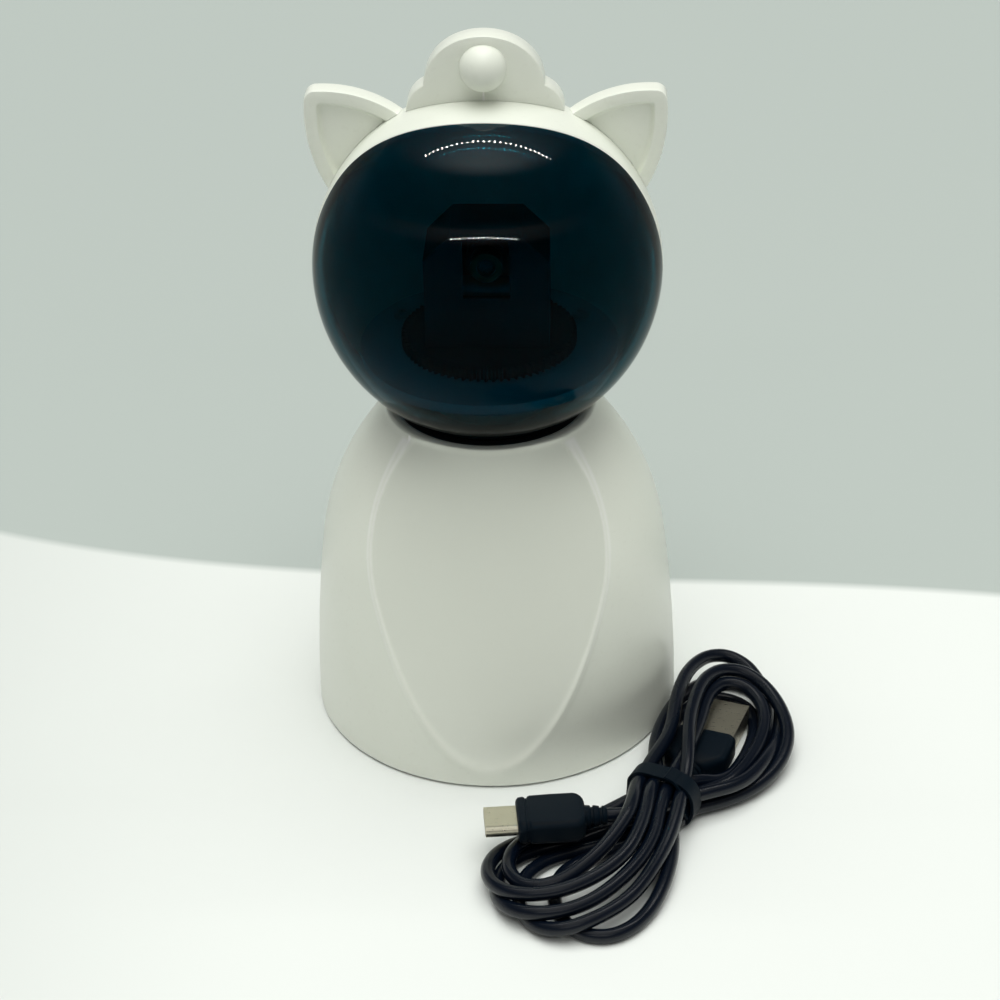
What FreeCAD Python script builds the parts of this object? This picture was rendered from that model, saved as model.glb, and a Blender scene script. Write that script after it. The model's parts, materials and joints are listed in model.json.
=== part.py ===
import FreeCAD, Part
import math
import os
import re
import Sketcher

# An automatic cat laser toy: a hollow white base with an open cup, a ball head held in the cup by a
# sprung neck tube, and a small motor-driven turret with a laser inside the head's smoked dome.
# Millimetres, +Z up, front towards -Y, origin on the table under the centre of the base.

Vector = FreeCAD.Vector
doc = FreeCAD.newDocument("CatLaserToy")

# ---------------------------------------------------------------- driving sizes
SIZES = [
    ("base_radius", 40.0, "outer radius of the base at its foot"),
    ("foot_drop", 0.8, "height of the base shell's bottom edge over the table"),
    ("shell_wall", 2.2, "wall of the base shell"),
    ("side_arc", 336.6, "radius of the long curve up the side of the base"),
    ("side_centre_height", -2.5, "height of that curve's centre"),
    ("shoulder_height", 41.3, "height where the side turns into the shoulder"),
    ("shoulder_arc", 55.4, "radius of the shoulder curve"),
    ("neck_height", 67.4, "height where the shoulder turns into the lip's cone"),
    ("lip_height", 73.4, "height of the lip"),
    ("lip_radius", 21.3, "radius of the cup's mouth"),
    ("lip_width", 1.5, "width of the rounded lip"),
    ("bib_foot_height", 4.0, "height of the bib's lower point"),
    ("bib_ridge_depth", 14.6, "how far forward the bib's ridges are at the lip"),
    ("bib_ridge_sag", 1.9, "bulge of the ridge line between foot and lip"),
    ("bib_centre_depth", 21.9, "how far forward the bib's middle is at the lip"),
    ("bib_centre_sag", 0.8, "bulge of the bib's middle line"),
    ("ball_radius", 36.1, "outer radius of the head"),
    ("ball_height", 104.8, "height of the head's centre"),
    ("ball_wall", 2.0, "wall of the head's shells"),
    ("cup_gap", 2.0, "room between the head and the cup"),
    ("cup_wall", 2.0, "wall of the cup"),
    ("slide_gap", 0.3, "clearance between surfaces that slide past each other"),
    ("shaft_gap", 0.05, "radial clearance of a shaft in its hole"),
    ("fit_gap", 0.1, "clearance between fixed pieces"),
    ("plate_thickness", 2.2, "thickness of the bottom plate"),
    ("plate_recess", 0.5, "how far the bottom plate sits inside the shell's edge"),
    ("pad_radius", 4.5, "radius of a rubber foot"),
    ("pad_inset", 13.0, "how far inside the base's foot the rubber feet are centred"),
    ("pad_seat_depth", 0.6, "depth of a rubber foot's seat in the bottom plate"),
    ("boss_inset", 4.7, "how far inside the base's foot the screw bosses are centred"),
    ("boss_radius", 3.0, "radius of a screw boss"),
    ("boss_length", 14.0, "length of a screw boss"),
    ("screw_radius", 1.25, "radius of a base screw"),
    ("screw_head_radius", 2.4, "radius of a base screw's head"),
    ("screw_head_height", 1.4, "height of a base screw's head"),
    ("screw_length", 10.0, "length of a base screw under its head"),
    ("cell_radius", 7.1, "radius of the battery cell"),
    ("cell_length", 50.0, "length of the battery cell"),
    ("cell_floor", 1.6, "thickness of the battery cradle under the cell"),
    ("cradle_length", 42.0, "length of the battery cradle"),
    ("cradle_width", 17.0, "width of the battery cradle"),
    ("cradle_end", 8.0, "length of each closed end of the battery cradle"),
    ("board_width", 28.0, "width of the circuit board"),
    ("board_height", 44.0, "height of the circuit board"),
    ("board_thickness", 1.6, "thickness of the circuit board"),
    ("board_inset", 14.0, "how far inside the base's foot the circuit board's front is"),
    ("board_foot", 5.0, "height of the circuit board's lower edge"),
    ("post_width", 4.0, "width of the posts that hold the circuit board"),
    ("post_depth", 5.0, "depth of the posts that hold the circuit board"),
    ("board_screw_length", 5.0, "length of a circuit board screw under its head"),
    ("frame_screw_length", 6.5, "length of a head frame screw under its head"),
    ("chip_height", 1.6, "how far the chips stand off the circuit board"),
    ("large_chip", 5.0, "side of the larger chips"),
    ("small_chip", 4.0, "side of the smaller chips"),
    ("header_width", 8.0, "width of the wire header"),
    ("header_height", 3.0, "height of the wire header"),
    ("chip_place", 8.0, "distance of the chips from the circuit board's middle"),
    ("small_screw_radius", 1.0, "radius of a small screw"),
    ("small_head_radius", 1.9, "radius of a small screw's head"),
    ("small_head_height", 1.2, "height of a small screw's head"),
    ("port_height", 12.0, "height of the charging socket"),
    ("port_width", 8.94, "width of the charging socket"),
    ("port_depth", 3.26, "height of the charging socket's mouth"),
    ("lamp_height", 18.5, "height of the status lamp"),
    ("lamp_radius", 1.0, "radius of the status lamp"),
    ("lamp_foot", 2.4, "side of the status lamp's foot"),
    ("lamp_foot_height", 1.2, "height of the status lamp's foot"),
    ("mode_height", 27.5, "height of the mode button"),
    ("power_height", 41.5, "height of the power button"),
    ("button_radius", 3.6, "radius of a button"),
    ("button_proud", 0.9, "how far a button stands out of the shell"),
    ("button_travel", 0.8, "travel of a button"),
    ("button_flange", 4.4, "radius of a button's flange"),
    ("flange_thickness", 1.2, "thickness of a button's flange"),
    ("button_stem", 1.5, "radius of a button's stem"),
    ("dimple_radius", 9.0, "radius of the hollow in a button's face"),
    ("dimple_depth", 0.3, "depth of the hollow in a button's face"),
    ("switch_side", 6.0, "side of a key switch"),
    ("switch_height", 3.5, "height of a key switch"),
    ("ring_inner", 13.0, "inner radius of the seat ring"),
    ("tube_radius", 4.0, "outer radius of the neck tube"),
    ("tube_bore", 2.6, "bore of the neck tube, for the wires"),
    ("tube_flange", 6.5, "radius of the neck tube's flange"),
    ("flange_height", 1.6, "height of the neck tube's flange"),
    ("bush_radius", 6.0, "outer radius of the neck bush"),
    ("bush_flange", 9.0, "radius of the neck bush's flange"),
    ("bush_flange_height", 1.5, "height of the neck bush's flange"),
    ("dish_radius", 13.0, "radius of the clamp dish"),
    ("dish_wall", 2.2, "wall of the clamp dish"),
    ("spring_length", 8.0, "length of the neck spring"),
    ("spring_radius", 5.4, "mean radius of the neck spring"),
    ("wire_radius", 0.5, "radius of the neck spring's wire"),
    ("nut_radius", 7.0, "radius of the neck nut"),
    ("nut_height", 3.5, "height of the neck nut"),
    ("head_tilt_range", 12.0, "how far the head tilts each way, in degrees"),
    ("foot_post_place", 15.6, "distance of the foot cap's posts from the middle"),
    ("foot_post_radius", 1.6, "radius of the foot cap's posts"),
    ("foot_cap_radius", 17.5, "radius of the black cap under the head"),
    ("seam_depth", 2.7, "how far forward the head's seam is at the sides"),
    ("visor_depth", 8.7, "how far forward the visor is at the top"),
    ("visor_start", 19.0, "height over the centre where the visor starts"),
    ("visor_arc", 22.0, "radius of the curve into the visor"),
    ("frame_depth", 17.8, "how far the head frame is under the head's centre"),
    ("frame_radius", 27.2, "radius of the head frame"),
    ("frame_thickness", 2.0, "thickness of the head frame"),
    ("head_boss_radius", 2.6, "radius of a screw boss in the head"),
    ("side_boss_x", 19.0, "distance of the side bosses from the head's middle"),
    ("side_boss_y", 11.0, "distance of the side bosses behind the head's centre"),
    ("back_boss_x", 10.0, "distance of the rear bosses from the head's middle"),
    ("back_boss_y", 22.0, "distance of the rear bosses behind the head's centre"),
    ("ear_reach", 36.6, "how far the ear's tip is from the middle"),
    ("ear_rise", 36.6, "height of the ear's tip over the head's centre"),
    ("ear_front", 5.0, "how far back the ear's front face is"),
    ("ear_thickness", 4.5, "thickness of an ear"),
    ("ear_rim", 3.0, "width of an ear's rim"),
    ("ear_recess", 1.3, "depth of an ear's sunk face"),
    ("ear_round", 0.5, "rounding of the ears and the crown"),
    ("crown_radius", 34.0, "radius of the crown's curved front"),
    ("crown_thickness", 5.0, "thickness of the crown"),
    ("crown_rise", 49.2, "height of the crown's top over the head's centre"),
    ("crown_arch", 12.1, "radius of the crown's middle lobe"),
    ("crown_lobe", 8.4, "radius of the crown's side lobes"),
    ("crown_lobe_place", 7.6, "distance of the side lobes from the middle"),
    ("crown_lobe_rise", 31.45, "height of the side lobes' centres over the head's centre"),
    ("pearl_radius", 4.7, "radius of the crown's button"),
    ("pearl_rise", 43.2, "height of the crown's button over the head's centre"),
    ("tongue_thickness", 2.2, "thickness of the tongues of ears and crown"),
    ("ear_tongue_width", 10.0, "width of an ear's tongue"),
    ("crown_tongue_width", 12.0, "width of the crown's tongue"),
    ("gear_module", 0.5, "module of the gears"),
    ("turret_teeth", 72, "teeth of the turret gear"),
    ("motor_teeth", 12, "teeth of the pan motor's pinion"),
    ("gear_width", 2.5, "width of the turret gear"),
    ("axle_radius", 3.0, "radius of the turret axle"),
    ("axle_bore", 1.9, "bore of the turret axle, for the wires"),
    ("axle_length", 6.8, "length of the turret axle over the frame"),
    ("clip_thickness", 0.6, "thickness of the clip on the turret axle"),
    ("hub_height", 5.2, "height of the turret gear's hub"),
    ("hub_wall", 2.5, "wall of the turret gear's hub"),
    ("pan_motor_radius", 5.0, "radius of the pan motor"),
    ("pan_motor_length", 14.0, "length of the pan motor"),
    ("shaft_radius", 0.75, "radius of the motor shafts"),
    ("tower_width", 13.0, "width of the pan motor's bracket"),
    ("tower_depth", 5.0, "depth of the pan motor's bracket"),
    ("tower_height", 6.0, "height of the pan motor's bracket"),
    ("turret_width", 25.6, "width of the turret housing"),
    ("turret_depth", 16.0, "depth of the turret housing"),
    ("turret_height", 25.0, "height of the turret housing"),
    ("turret_wall", 1.5, "wall of the turret housing"),
    ("turret_corner", 5.5, "chamfer of the turret housing's shoulders"),
    ("window_width", 9.6, "width of the laser's window"),
    ("window_height", 13.0, "height of the laser's window"),
    ("laser_rise", 2.6, "height of the laser's pivot over the head's centre"),
    ("laser_radius", 3.25, "radius of the laser module"),
    ("laser_length", 11.6, "length of the laser module"),
    ("laser_front", 7.0, "how far forward of its pivot the laser module reaches"),
    ("lens_radius", 2.0, "radius of the laser's lens"),
    ("clamp_radius", 4.25, "radius of the laser cradle's ring"),
    ("clamp_length", 6.0, "length of the laser cradle's ring"),
    ("pin_radius", 1.2, "radius of the cradle pins"),
    ("sector_teeth", 24, "teeth of the cradle's gear, counted all round"),
    ("tilt_teeth", 10, "teeth of the tilt motor's pinion"),
    ("sector_place", 7.0, "distance of the cradle's gear from the middle"),
    ("sector_width", 2.0, "width of the cradle's gear"),
    ("tilt_motor_radius", 3.0, "radius of the tilt motor"),
    ("tilt_motor_length", 15.0, "length of the tilt motor"),
    ("saddle_width", 7.0, "width of the saddle under the tilt motor"),
    ("saddle_place", 10.0, "how far the saddle's middle is from the tilt motor's end"),
    ("cable_radius", 1.5, "radius of the charging cable"),
    ("plug_width", 10.8, "width of the small plug's grip"),
    ("plug_height", 5.6, "height of the small plug's grip"),
    ("plug_length", 14.0, "length of the small plug's grip"),
    ("plug_shell_width", 8.34, "width of the small plug's metal shell"),
    ("plug_shell_height", 2.56, "height of the small plug's metal shell"),
    ("plug_shell_length", 6.65, "length of the small plug's metal shell"),
    ("large_plug_width", 13.6, "width of the large plug's grip"),
    ("large_plug_height", 6.4, "height of the large plug's grip"),
    ("large_plug_length", 12.0, "length of the large plug's grip"),
    ("relief_length", 4.5, "length of the small plug's strain relief"),
    ("large_relief_length", 7.0, "length of the large plug's strain relief"),
    ("tie_width", 4.0, "width of the tie round the bundle"),
    ("tie_thickness", 0.8, "thickness of the tie"),
    ("tie_room", 0.5, "room each side of the tie"),
    ("bundle_width", 12.6, "width of the cable's bundle under the tie"),
    ("bundle_height", 9.6, "height of the cable's bundle under the tie"),
    ("waist_length", 14.0, "length of the cable's straight bundle at the tie"),
    ("bundle_place", -0.4, "how far left of the bundle's line its waist lies"),
    ("large_shell_width", 12.0, "width of the large plug's metal shell"),
    ("large_shell_height", 4.5, "height of the large plug's metal shell"),
    ("large_shell_length", 12.0, "length of the large plug's metal shell"),
]
sheet = doc.addObject("Spreadsheet::Sheet", "Sizes")
for row, (alias, size, meaning) in enumerate(SIZES, start=1):
    sheet.set(f"A{row}", meaning)
    sheet.set(f"B{row}", str(size))
    sheet.setAlias(f"B{row}", alias)
doc.recompute()
NAMES = {alias for alias, size, meaning in SIZES}


def tied(text):
    """Turn the size names in a formula into references to the sheet's cells."""
    return re.sub(r"[a-z_]+", lambda word: "Sizes." + word[0] if word[0] in NAMES else word[0], text)


def number(text):
    """Value of a formula written with the sheet's names."""
    return float(sheet.evalExpression(tied(text)))


# ---------------------------------------------------------------- small helpers
TURNS = {
    "Z": FreeCAD.Rotation(),
    "-Z": FreeCAD.Rotation(Vector(1, 0, 0), 180),
    "X": FreeCAD.Rotation(Vector(0, 1, 0), 90),
    "Y": FreeCAD.Rotation(Vector(1, 0, 0), -90),
    "-Y": FreeCAD.Rotation(Vector(1, 0, 0), 90),
}
SUBPARTS = {}


def bind(item, **formulas):
    for name, formula in formulas.items():
        item.setExpression(name, tied(formula))
    return item


def place(item, at, turn=FreeCAD.Rotation()):
    item.Placement = FreeCAD.Placement(Vector(), turn)
    for axis, formula in zip("xyz", at):
        item.setExpression("Placement.Base." + axis, tied(formula))
    return item


def cylinder(name, radius, length, at, along="Z"):
    item = bind(doc.addObject("Part::Cylinder", name), Radius=radius, Height=length)
    return place(item, at, TURNS[along])


def cone(name, radius, end_radius, length, at, along="Z"):
    item = bind(doc.addObject("Part::Cone", name), Radius1=radius, Radius2=end_radius, Height=length)
    return place(item, at, TURNS[along])


def box(name, sides, centre, turn=FreeCAD.Rotation()):
    """A block given by its side lengths and its centre in X and Y and its lower face in Z."""
    length, width, height = sides
    item = bind(doc.addObject("Part::Box", name), Length=length, Width=width, Height=height)
    corner = (f"({centre[0]}) - ({length}) / 2", f"({centre[1]}) - ({width}) / 2", centre[2])
    return place(item, corner, turn)


def sphere(name, radius, at=("0", "0", "ball_height"), along="Z"):
    """Ball whose poles lie along the given axis."""
    return place(bind(doc.addObject("Part::Sphere", name), Radius=radius), at, TURNS[along])


def joined(name, *items):
    item = doc.addObject("Part::MultiFuse", name)
    item.Shapes = list(items)
    return item


def group(name, *items):
    item = doc.addObject("Part::Compound", name)
    item.Links = list(items)
    return item


def cut(name, base, *tools):
    item = doc.addObject("Part::Cut", name)
    item.Base = base
    item.Tool = tools[0] if len(tools) == 1 else group(name + "_tools", *tools)
    return item


def common(name, first, second):
    item = doc.addObject("Part::Common", name)
    item.Base = first
    item.Tool = second
    return item


def mirrored(name, source):
    item = doc.addObject("Part::Mirroring", name)
    item.Source = source
    item.Normal = Vector(1, 0, 0)
    return item


def feature(name, shape):
    item = doc.addObject("Part::Feature", name)
    item.Shape = shape
    return item


def subpart(node, item):
    item.Label = node
    SUBPARTS[node] = item
    return item


def origin_plane(body, role):
    return next(entry for entry in body.Origin.OriginFeatures if entry.Role == role)


def sketch_on(body, name, role, start, steps, offset="0"):
    """Closed outline from start through steps: ("line", x, y) or ("arc", x, y, radius, side).

    side says on which hand the arc's centre lies, seen along the way the outline runs.
    """
    sketch = body.newObject("Sketcher::SketchObject", name)
    sketch.AttachmentSupport = [(origin_plane(body, role), "")]
    sketch.MapMode = "FlatFace"
    sketch.setExpression("AttachmentOffset.Base.z", tied(offset))
    corners = [start] + [step[1:3] for step in steps]
    spots = [Vector(number(x), number(y), 0) for x, y in corners]
    ends = []
    for index, step in enumerate(steps):
        first, last = spots[index], spots[index + 1]
        if step[0] == "line":
            edge = sketch.addGeometry(Part.LineSegment(first, last), False)
            ends.append((edge, 1, 2))
            continue
        radius, side = number(step[3]), step[4]
        chord = last - first
        reach = math.sqrt(max(radius ** 2 - (chord.Length / 2) ** 2, 0))
        normal = Vector(-chord.y, chord.x, 0).normalize()
        centre = (first + last) / 2 + normal * (reach if side == "left" else -reach)
        low, high = (first, last) if side == "left" else (last, first)
        angles = [math.atan2(spot.y - centre.y, spot.x - centre.x) for spot in (low, high)]
        circle = Part.Circle(centre, Vector(0, 0, 1), radius)
        edge = sketch.addGeometry(Part.ArcOfCircle(circle, angles[0], angles[1]), False)
        ends.append((edge, 1, 2) if side == "left" else (edge, 2, 1))
        rule = sketch.addConstraint(Sketcher.Constraint("Radius", edge, radius))
        sketch.setExpression(f"Constraints[{rule}]", tied(step[3]))
    for index, (edge, begin, end) in enumerate(ends):
        after, after_begin = ends[(index + 1) % len(ends)][:2]
        sketch.addConstraint(Sketcher.Constraint("Coincident", edge, end, after, after_begin))
        for kind, formula, size in zip(("DistanceX", "DistanceY"), corners[index], spots[index]):
            rule = sketch.addConstraint(Sketcher.Constraint(kind, -1, 1, edge, begin, size))
            sketch.setExpression(f"Constraints[{rule}]", tied(formula))
    return sketch


def new_body(name):
    return doc.addObject("PartDesign::Body", name)


def pad(body, sketch, length, backwards=False):
    item = body.newObject("PartDesign::Pad", sketch.Name + "_pad")
    item.Profile = sketch
    item.Reversed = backwards
    bind(item, Length=length)
    sketch.Visibility = False
    doc.recompute()
    return item


def pocket(body, sketch, depth, backwards=False):
    before = body.Shape.Volume
    item = body.newObject("PartDesign::Pocket", sketch.Name + "_pocket")
    item.Profile = sketch
    item.Reversed = backwards
    bind(item, Length=depth)
    doc.recompute()
    assert body.Shape.Volume < before, sketch.Name + " cuts nothing"
    return item


def revolve(body, sketch):
    item = body.newObject("PartDesign::Revolution", sketch.Name + "_turn")
    item.Profile = sketch
    item.ReferenceAxis = (sketch, ["V_Axis"])
    item.Angle = 360
    doc.recompute()
    return item


def rounded(body, last, radius, keep):
    """Fillet the edges of the body's last feature whose middle point passes the test keep."""
    names = []
    for index, edge in enumerate(last.Shape.Edges, start=1):
        if keep(edge):
            names.append(f"Edge{index}")
    item = body.newObject("PartDesign::Fillet", last.Name + "_round")
    item.Base = (last, names)
    bind(item, Radius=radius)
    doc.recompute()
    assert item.Shape.isValid(), last.Name + " is not rounded"
    return item


# ---------------------------------------------------------------- base shell
def side_radius(height, inset="0"):
    """Radius of the base at a height on its long side curve, a given depth inside the surface."""
    return (f"(base_radius - side_arc + sqrt((side_arc - {inset})^2"
            f" - ({height} - side_centre_height)^2))")


SHOULDER_START = side_radius("shoulder_height")
LEAN_OUT = f"(({SHOULDER_START} - base_radius + side_arc) / side_arc)"
LEAN_UP = "((shoulder_height - side_centre_height) / side_arc)"
SHOULDER_CENTRE = f"({SHOULDER_START} - shoulder_arc * {LEAN_OUT})"
SHOULDER_CENTRE_HEIGHT = f"(shoulder_height - shoulder_arc * {LEAN_UP})"


def shoulder_radius(height, inset="0"):
    return (f"({SHOULDER_CENTRE} + sqrt((shoulder_arc - {inset})^2"
            f" - ({height} - {SHOULDER_CENTRE_HEIGHT})^2))")


def wall_radius(height, inset="0"):
    """Radius of the base at a height, on the curve that the height falls in."""
    curve = side_radius if number(height) < number("shoulder_height") else shoulder_radius
    return curve(f"({height})", inset)


def base_form(name, inset, top):
    """Solid of revolution inside the base's outer surface, a given depth under it."""
    body = new_body(name)
    floor = "foot_drop"
    turn_height = f"(shoulder_height - {inset} * {LEAN_UP})"
    steps = [
        ("line", side_radius(floor, inset), floor),
        ("arc", f"({SHOULDER_CENTRE} + (shoulder_arc - {inset}) * {LEAN_OUT})", turn_height,
         f"side_arc - {inset}", "left"),
    ]
    steps += top
    sketch = sketch_on(body, name + "_outline", "XZ_Plane", ("0", floor), steps)
    revolve(body, sketch)
    return body


outer_form = base_form("base_outer", "0", [
    ("arc", shoulder_radius("neck_height"), "neck_height", "shoulder_arc", "left"),
    ("line", "lip_radius + lip_width", "lip_height - lip_width * 0.8"),
    ("arc", "lip_radius", "lip_height", "lip_width", "left"),
    ("line", "0", "lip_height"),
    ("line", "0", "foot_drop"),
])
inner_form = base_form("base_inner", "shell_wall", [
    ("arc", shoulder_radius("neck_height + shell_wall", "shell_wall"), "neck_height + shell_wall",
     "shoulder_arc - shell_wall", "left"),
    ("line", "0", "neck_height + shell_wall"),
    ("line", "0", "foot_drop"),
])


def bow(start, end, sag, share):
    """Point at a share of the height from start to end on a shallow arc with the given bulge."""
    (depth, height), (end_depth, end_height) = start, end
    bulge = 4 * share * (1 - share) * sag
    return depth + (end_depth - depth) * share + bulge, height + (end_height - height) * share


def bib_form(name, inset):
    """Everything behind the bib's surface, which is flat low down and curved at the lip."""
    foot = (number("base_radius"), number("bib_foot_height"))
    ridge_top = (number("bib_ridge_depth"), number("lip_height"))
    centre_top = (number("bib_centre_depth"), number("lip_height"))
    far = 2 * number("base_radius")
    sections = []
    for share in (-0.1, 0.0, 0.2, 0.4, 0.6, 0.8, 1.0, 1.08):
        ridge, height = bow(foot, ridge_top, number("bib_ridge_sag"), share)
        centre, height = bow(foot, centre_top, number("bib_centre_sag"), share)
        centre = max(centre, ridge + 0.02)
        radius = number(wall_radius(str(min(height, number("neck_height") + 5))))
        half = math.sqrt(max(radius ** 2 - ridge ** 2, 1)) if share > 0.05 else 12 + 40 * max(share, 0)
        curve = (centre - ridge) / half ** 2
        wide = 34.0
        edge_depth = centre - curve * wide ** 2
        arc = Part.Arc(Vector(-wide, inset - edge_depth, height), Vector(0, inset - centre, height),
                       Vector(wide, inset - edge_depth, height)).toShape()
        corners = [Vector(wide, inset - edge_depth, height), Vector(far, inset - edge_depth, height),
                   Vector(far, far, height), Vector(-far, far, height),
                   Vector(-far, inset - edge_depth, height), Vector(-wide, inset - edge_depth, height)]
        sides = [Part.LineSegment(a, b).toShape() for a, b in zip(corners, corners[1:])]
        sections.append(Part.Wire([arc] + sides))
    return feature(name, Part.makeLoft(sections, True, False))


bib_outer = bib_form("bib_outer", 0)
bib_inner = bib_form("bib_inner", number("shell_wall"))
outer_cut = common("base_outer_bib", outer_form, bib_outer)
inner_cut = common("base_inner_bib", inner_form, bib_inner)
cup_under = sphere("cup_under", "ball_radius + cup_gap + cup_wall")
cavity = cut("base_cavity", inner_cut, cup_under)
cup = sphere("cup", "ball_radius + cup_gap")
hollow_base = cut("base_hollow", outer_cut, cup, cavity)

BOARD_PLACE = "(base_radius - board_inset)"
PLATE_FLOOR = "foot_drop + plate_recess"
PLATE_TOP = "foot_drop + plate_recess + plate_thickness"
BOSS_ANGLES = (45, 135, 225, 315)


def ring_spot(radius, angle):
    return f"({radius}) * {math.cos(math.radians(angle)):.6f}", f"({radius}) * {math.sin(math.radians(angle)):.6f}"


bosses = []
boss_holes = []
for angle in BOSS_ANGLES:
    spot = ring_spot("base_radius - boss_inset", angle)
    bosses.append(cylinder(f"boss_{angle}", "boss_radius", "boss_length", (*spot, PLATE_TOP)))
    boss_holes.append(cylinder(f"boss_hole_{angle}", "screw_radius + fit_gap", "boss_length - 1",
                               (*spot, PLATE_TOP)))
trimmed_bosses = common("bosses_inside", group("boss_set", *bosses), outer_form)
CUP_BOTTOM = "ball_height - ball_radius - cup_gap"


def slot_along_y(name, width, height, length, centre_height, start, middle="0"):
    """A flat-oval bar along Y: two rounded sides and a straight middle."""
    radius = f"({height}) / 2"
    offset = f"(({width}) - ({height})) / 2"
    left = cylinder(name + "_left", radius, length, (f"{middle} - {offset}", start, centre_height), "Y")
    right = cylinder(name + "_right", radius, length, (f"{middle} + {offset}", start, centre_height), "Y")
    core = bind(doc.addObject("Part::Box", name + "_core"), Length=f"({width}) - ({height})",
                Width=length, Height=height)
    place(core, (f"{middle} - {offset}", start, f"{centre_height} - {radius}"))
    return joined(name, left, core, right)


port_hole = slot_along_y("port_hole", "port_width + 0.7", "port_depth + 0.7", "shell_wall * 4",
                         "port_height",
                         f"{wall_radius('port_height')} - shell_wall * 2")
lamp_hole = cylinder("lamp_hole", "lamp_radius + fit_gap", "shell_wall * 4",
                     ("0", f"{wall_radius('lamp_height')} - shell_wall * 2", "lamp_height"), "Y")
mode_hole = cylinder("mode_hole", "button_radius + slide_gap", "shell_wall * 4",
                     ("0", f"{wall_radius('mode_height')} - shell_wall * 2", "mode_height"), "Y")
power_hole = cylinder("power_hole", "button_radius + slide_gap", "shell_wall * 4",
                      ("0", f"{wall_radius('power_height')} - shell_wall * 2", "power_height"), "Y")
neck_hole = cylinder("neck_hole", "bush_radius + fit_gap / 2", "cup_gap + cup_wall + 6",
                     ("0", "0", f"{CUP_BOTTOM} - cup_wall - 3"))
shell_with_bosses = joined("base_with_bosses", hollow_base, trimmed_bosses)
subpart("base_shell", cut("base_shell_cut", shell_with_bosses, port_hole, lamp_hole, mode_hole,
                          power_hole, neck_hole, *boss_holes))

# ---------------------------------------------------------------- bottom plate, feet and screws
plate_disc = common("plate_disc", cylinder("plate_round",
                                           side_radius("foot_drop", "shell_wall") + " - slide_gap",
                                           "plate_thickness", ("0", "0", PLATE_FLOOR)), bib_inner)
posts = []
for side in (-1, 1):
    middle = f"{side} * (board_width - post_width) / 2"
    posts.append(box(f"board_post_{side + 1}", ("post_width", "post_depth", "board_height"),
                     (middle, f"{BOARD_PLACE} - post_depth / 2", PLATE_TOP)))
plate_solid = joined("plate_with_posts", plate_disc, *posts)
plate_tools = []
pads = []
screws = []
for angle in (0, 90, 180, 270):
    spot = ring_spot("base_radius - pad_inset", angle)
    plate_tools.append(cylinder(f"pad_seat_{angle}", "pad_radius", "pad_seat_depth", (*spot, PLATE_FLOOR)))
    pads.append(cylinder(f"pad_{angle}", "pad_radius", f"{PLATE_FLOOR} + pad_seat_depth", (*spot, "0")))


def pan_screw(name, at, radius, length, head_radius, head_height, along="Z"):
    """Pan-head screw: at is the middle of the seat under its head, along points to its tip."""
    turn = TURNS[along]
    tip = turn.multVec(Vector(0, 0, 1))
    back = [f"({start}) - ({step:.0f}) * ({head_height})" for start, step in zip(at, tip)]
    head = cylinder(name + "_head", head_radius, head_height, back, along)
    slot_at = [f"({start}) - ({step:.0f}) * 0.1" for start, step in zip(back, tip)]
    hexagon = doc.addObject("Part::Prism", name + "_drive")
    hexagon.Polygon = 6
    bind(hexagon, Circumradius=f"({head_radius}) * 0.5", Height=f"({head_height}) * 0.6")
    place(hexagon, slot_at, turn)
    shank = cylinder(name + "_shank", radius, length, at, along)
    return cut(name, joined(name + "_solid", head, shank), hexagon)


for angle in BOSS_ANGLES:
    spot = ring_spot("base_radius - boss_inset", angle)
    seat = "(foot_drop + plate_recess + screw_head_height)"
    plate_tools.append(cylinder(f"sink_{angle}", "screw_head_radius + fit_gap", "screw_head_height",
                                (*spot, PLATE_FLOOR)))
    plate_tools.append(cylinder(f"clear_{angle}", "screw_radius + fit_gap", "plate_thickness + 1",
                                (*spot, PLATE_FLOOR)))
    screws.append(pan_screw(f"base_screw_{angle}", (*spot, seat), "screw_radius", "screw_length",
                            "screw_head_radius", "screw_head_height"))
LOWER_SCREWS = "board_foot + 4"
UPPER_SCREWS = "board_foot + board_height - 6"
board_screws = []
board_holes = []
for side in (-1, 1):
    for level, height in enumerate((LOWER_SCREWS, UPPER_SCREWS)):
        middle = f"{side} * (board_width - post_width) / 2"
        name = f"board_screw_{side + 1}_{level}"
        face = f"{BOARD_PLACE} + board_thickness"
        screw = pan_screw(name, (middle, face, height), "small_screw_radius", "board_screw_length",
                          "small_head_radius", "small_head_height", "-Y")
        board_screws.append(screw)
        board_holes.append(cylinder(name + "_hole", "small_screw_radius + fit_gap",
                                    "board_screw_length + fit_gap", (middle, face, height), "-Y"))
subpart("base_plate", cut("base_plate_cut", plate_solid, *plate_tools, *board_holes))
subpart("rubber_feet", group("rubber_feet_set", *pads))
subpart("base_screws", group("base_screw_set", *screws))
subpart("board_screws", group("board_screw_set", *board_screws))

# ---------------------------------------------------------------- battery
CELL_HEIGHT = "(foot_drop + plate_recess + plate_thickness + cell_floor + cell_radius)"
cradle_block = box("cradle_block", ("cradle_length", "cradle_width", "cell_floor + cell_radius * 0.75"),
                   ("0", "0", PLATE_TOP))
cradle_trough = cylinder("cradle_trough", "cell_radius + fit_gap", "cradle_length + 2",
                         ("-cradle_length / 2 - 1", "0", CELL_HEIGHT), "X")
cradle_window = box("cradle_window", ("cradle_length - 2 * cradle_end", "cradle_width + 2", "cell_radius"),
                    ("0", "0", "foot_drop + plate_recess + plate_thickness + cell_floor"))
subpart("battery_cradle", cut("battery_cradle_cut", cradle_block, cradle_trough, cradle_window))
cell_can = cylinder("cell_can", "cell_radius", "cell_length - 1.2", ("-cell_length / 2", "0", CELL_HEIGHT),
                    "X")
cell_tip = cylinder("cell_tip", "cell_radius * 0.35", "2", ("cell_length / 2 - 2", "0", CELL_HEIGHT), "X")
subpart("battery_cell", joined("battery_cell_solid", cell_can, cell_tip))

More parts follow.
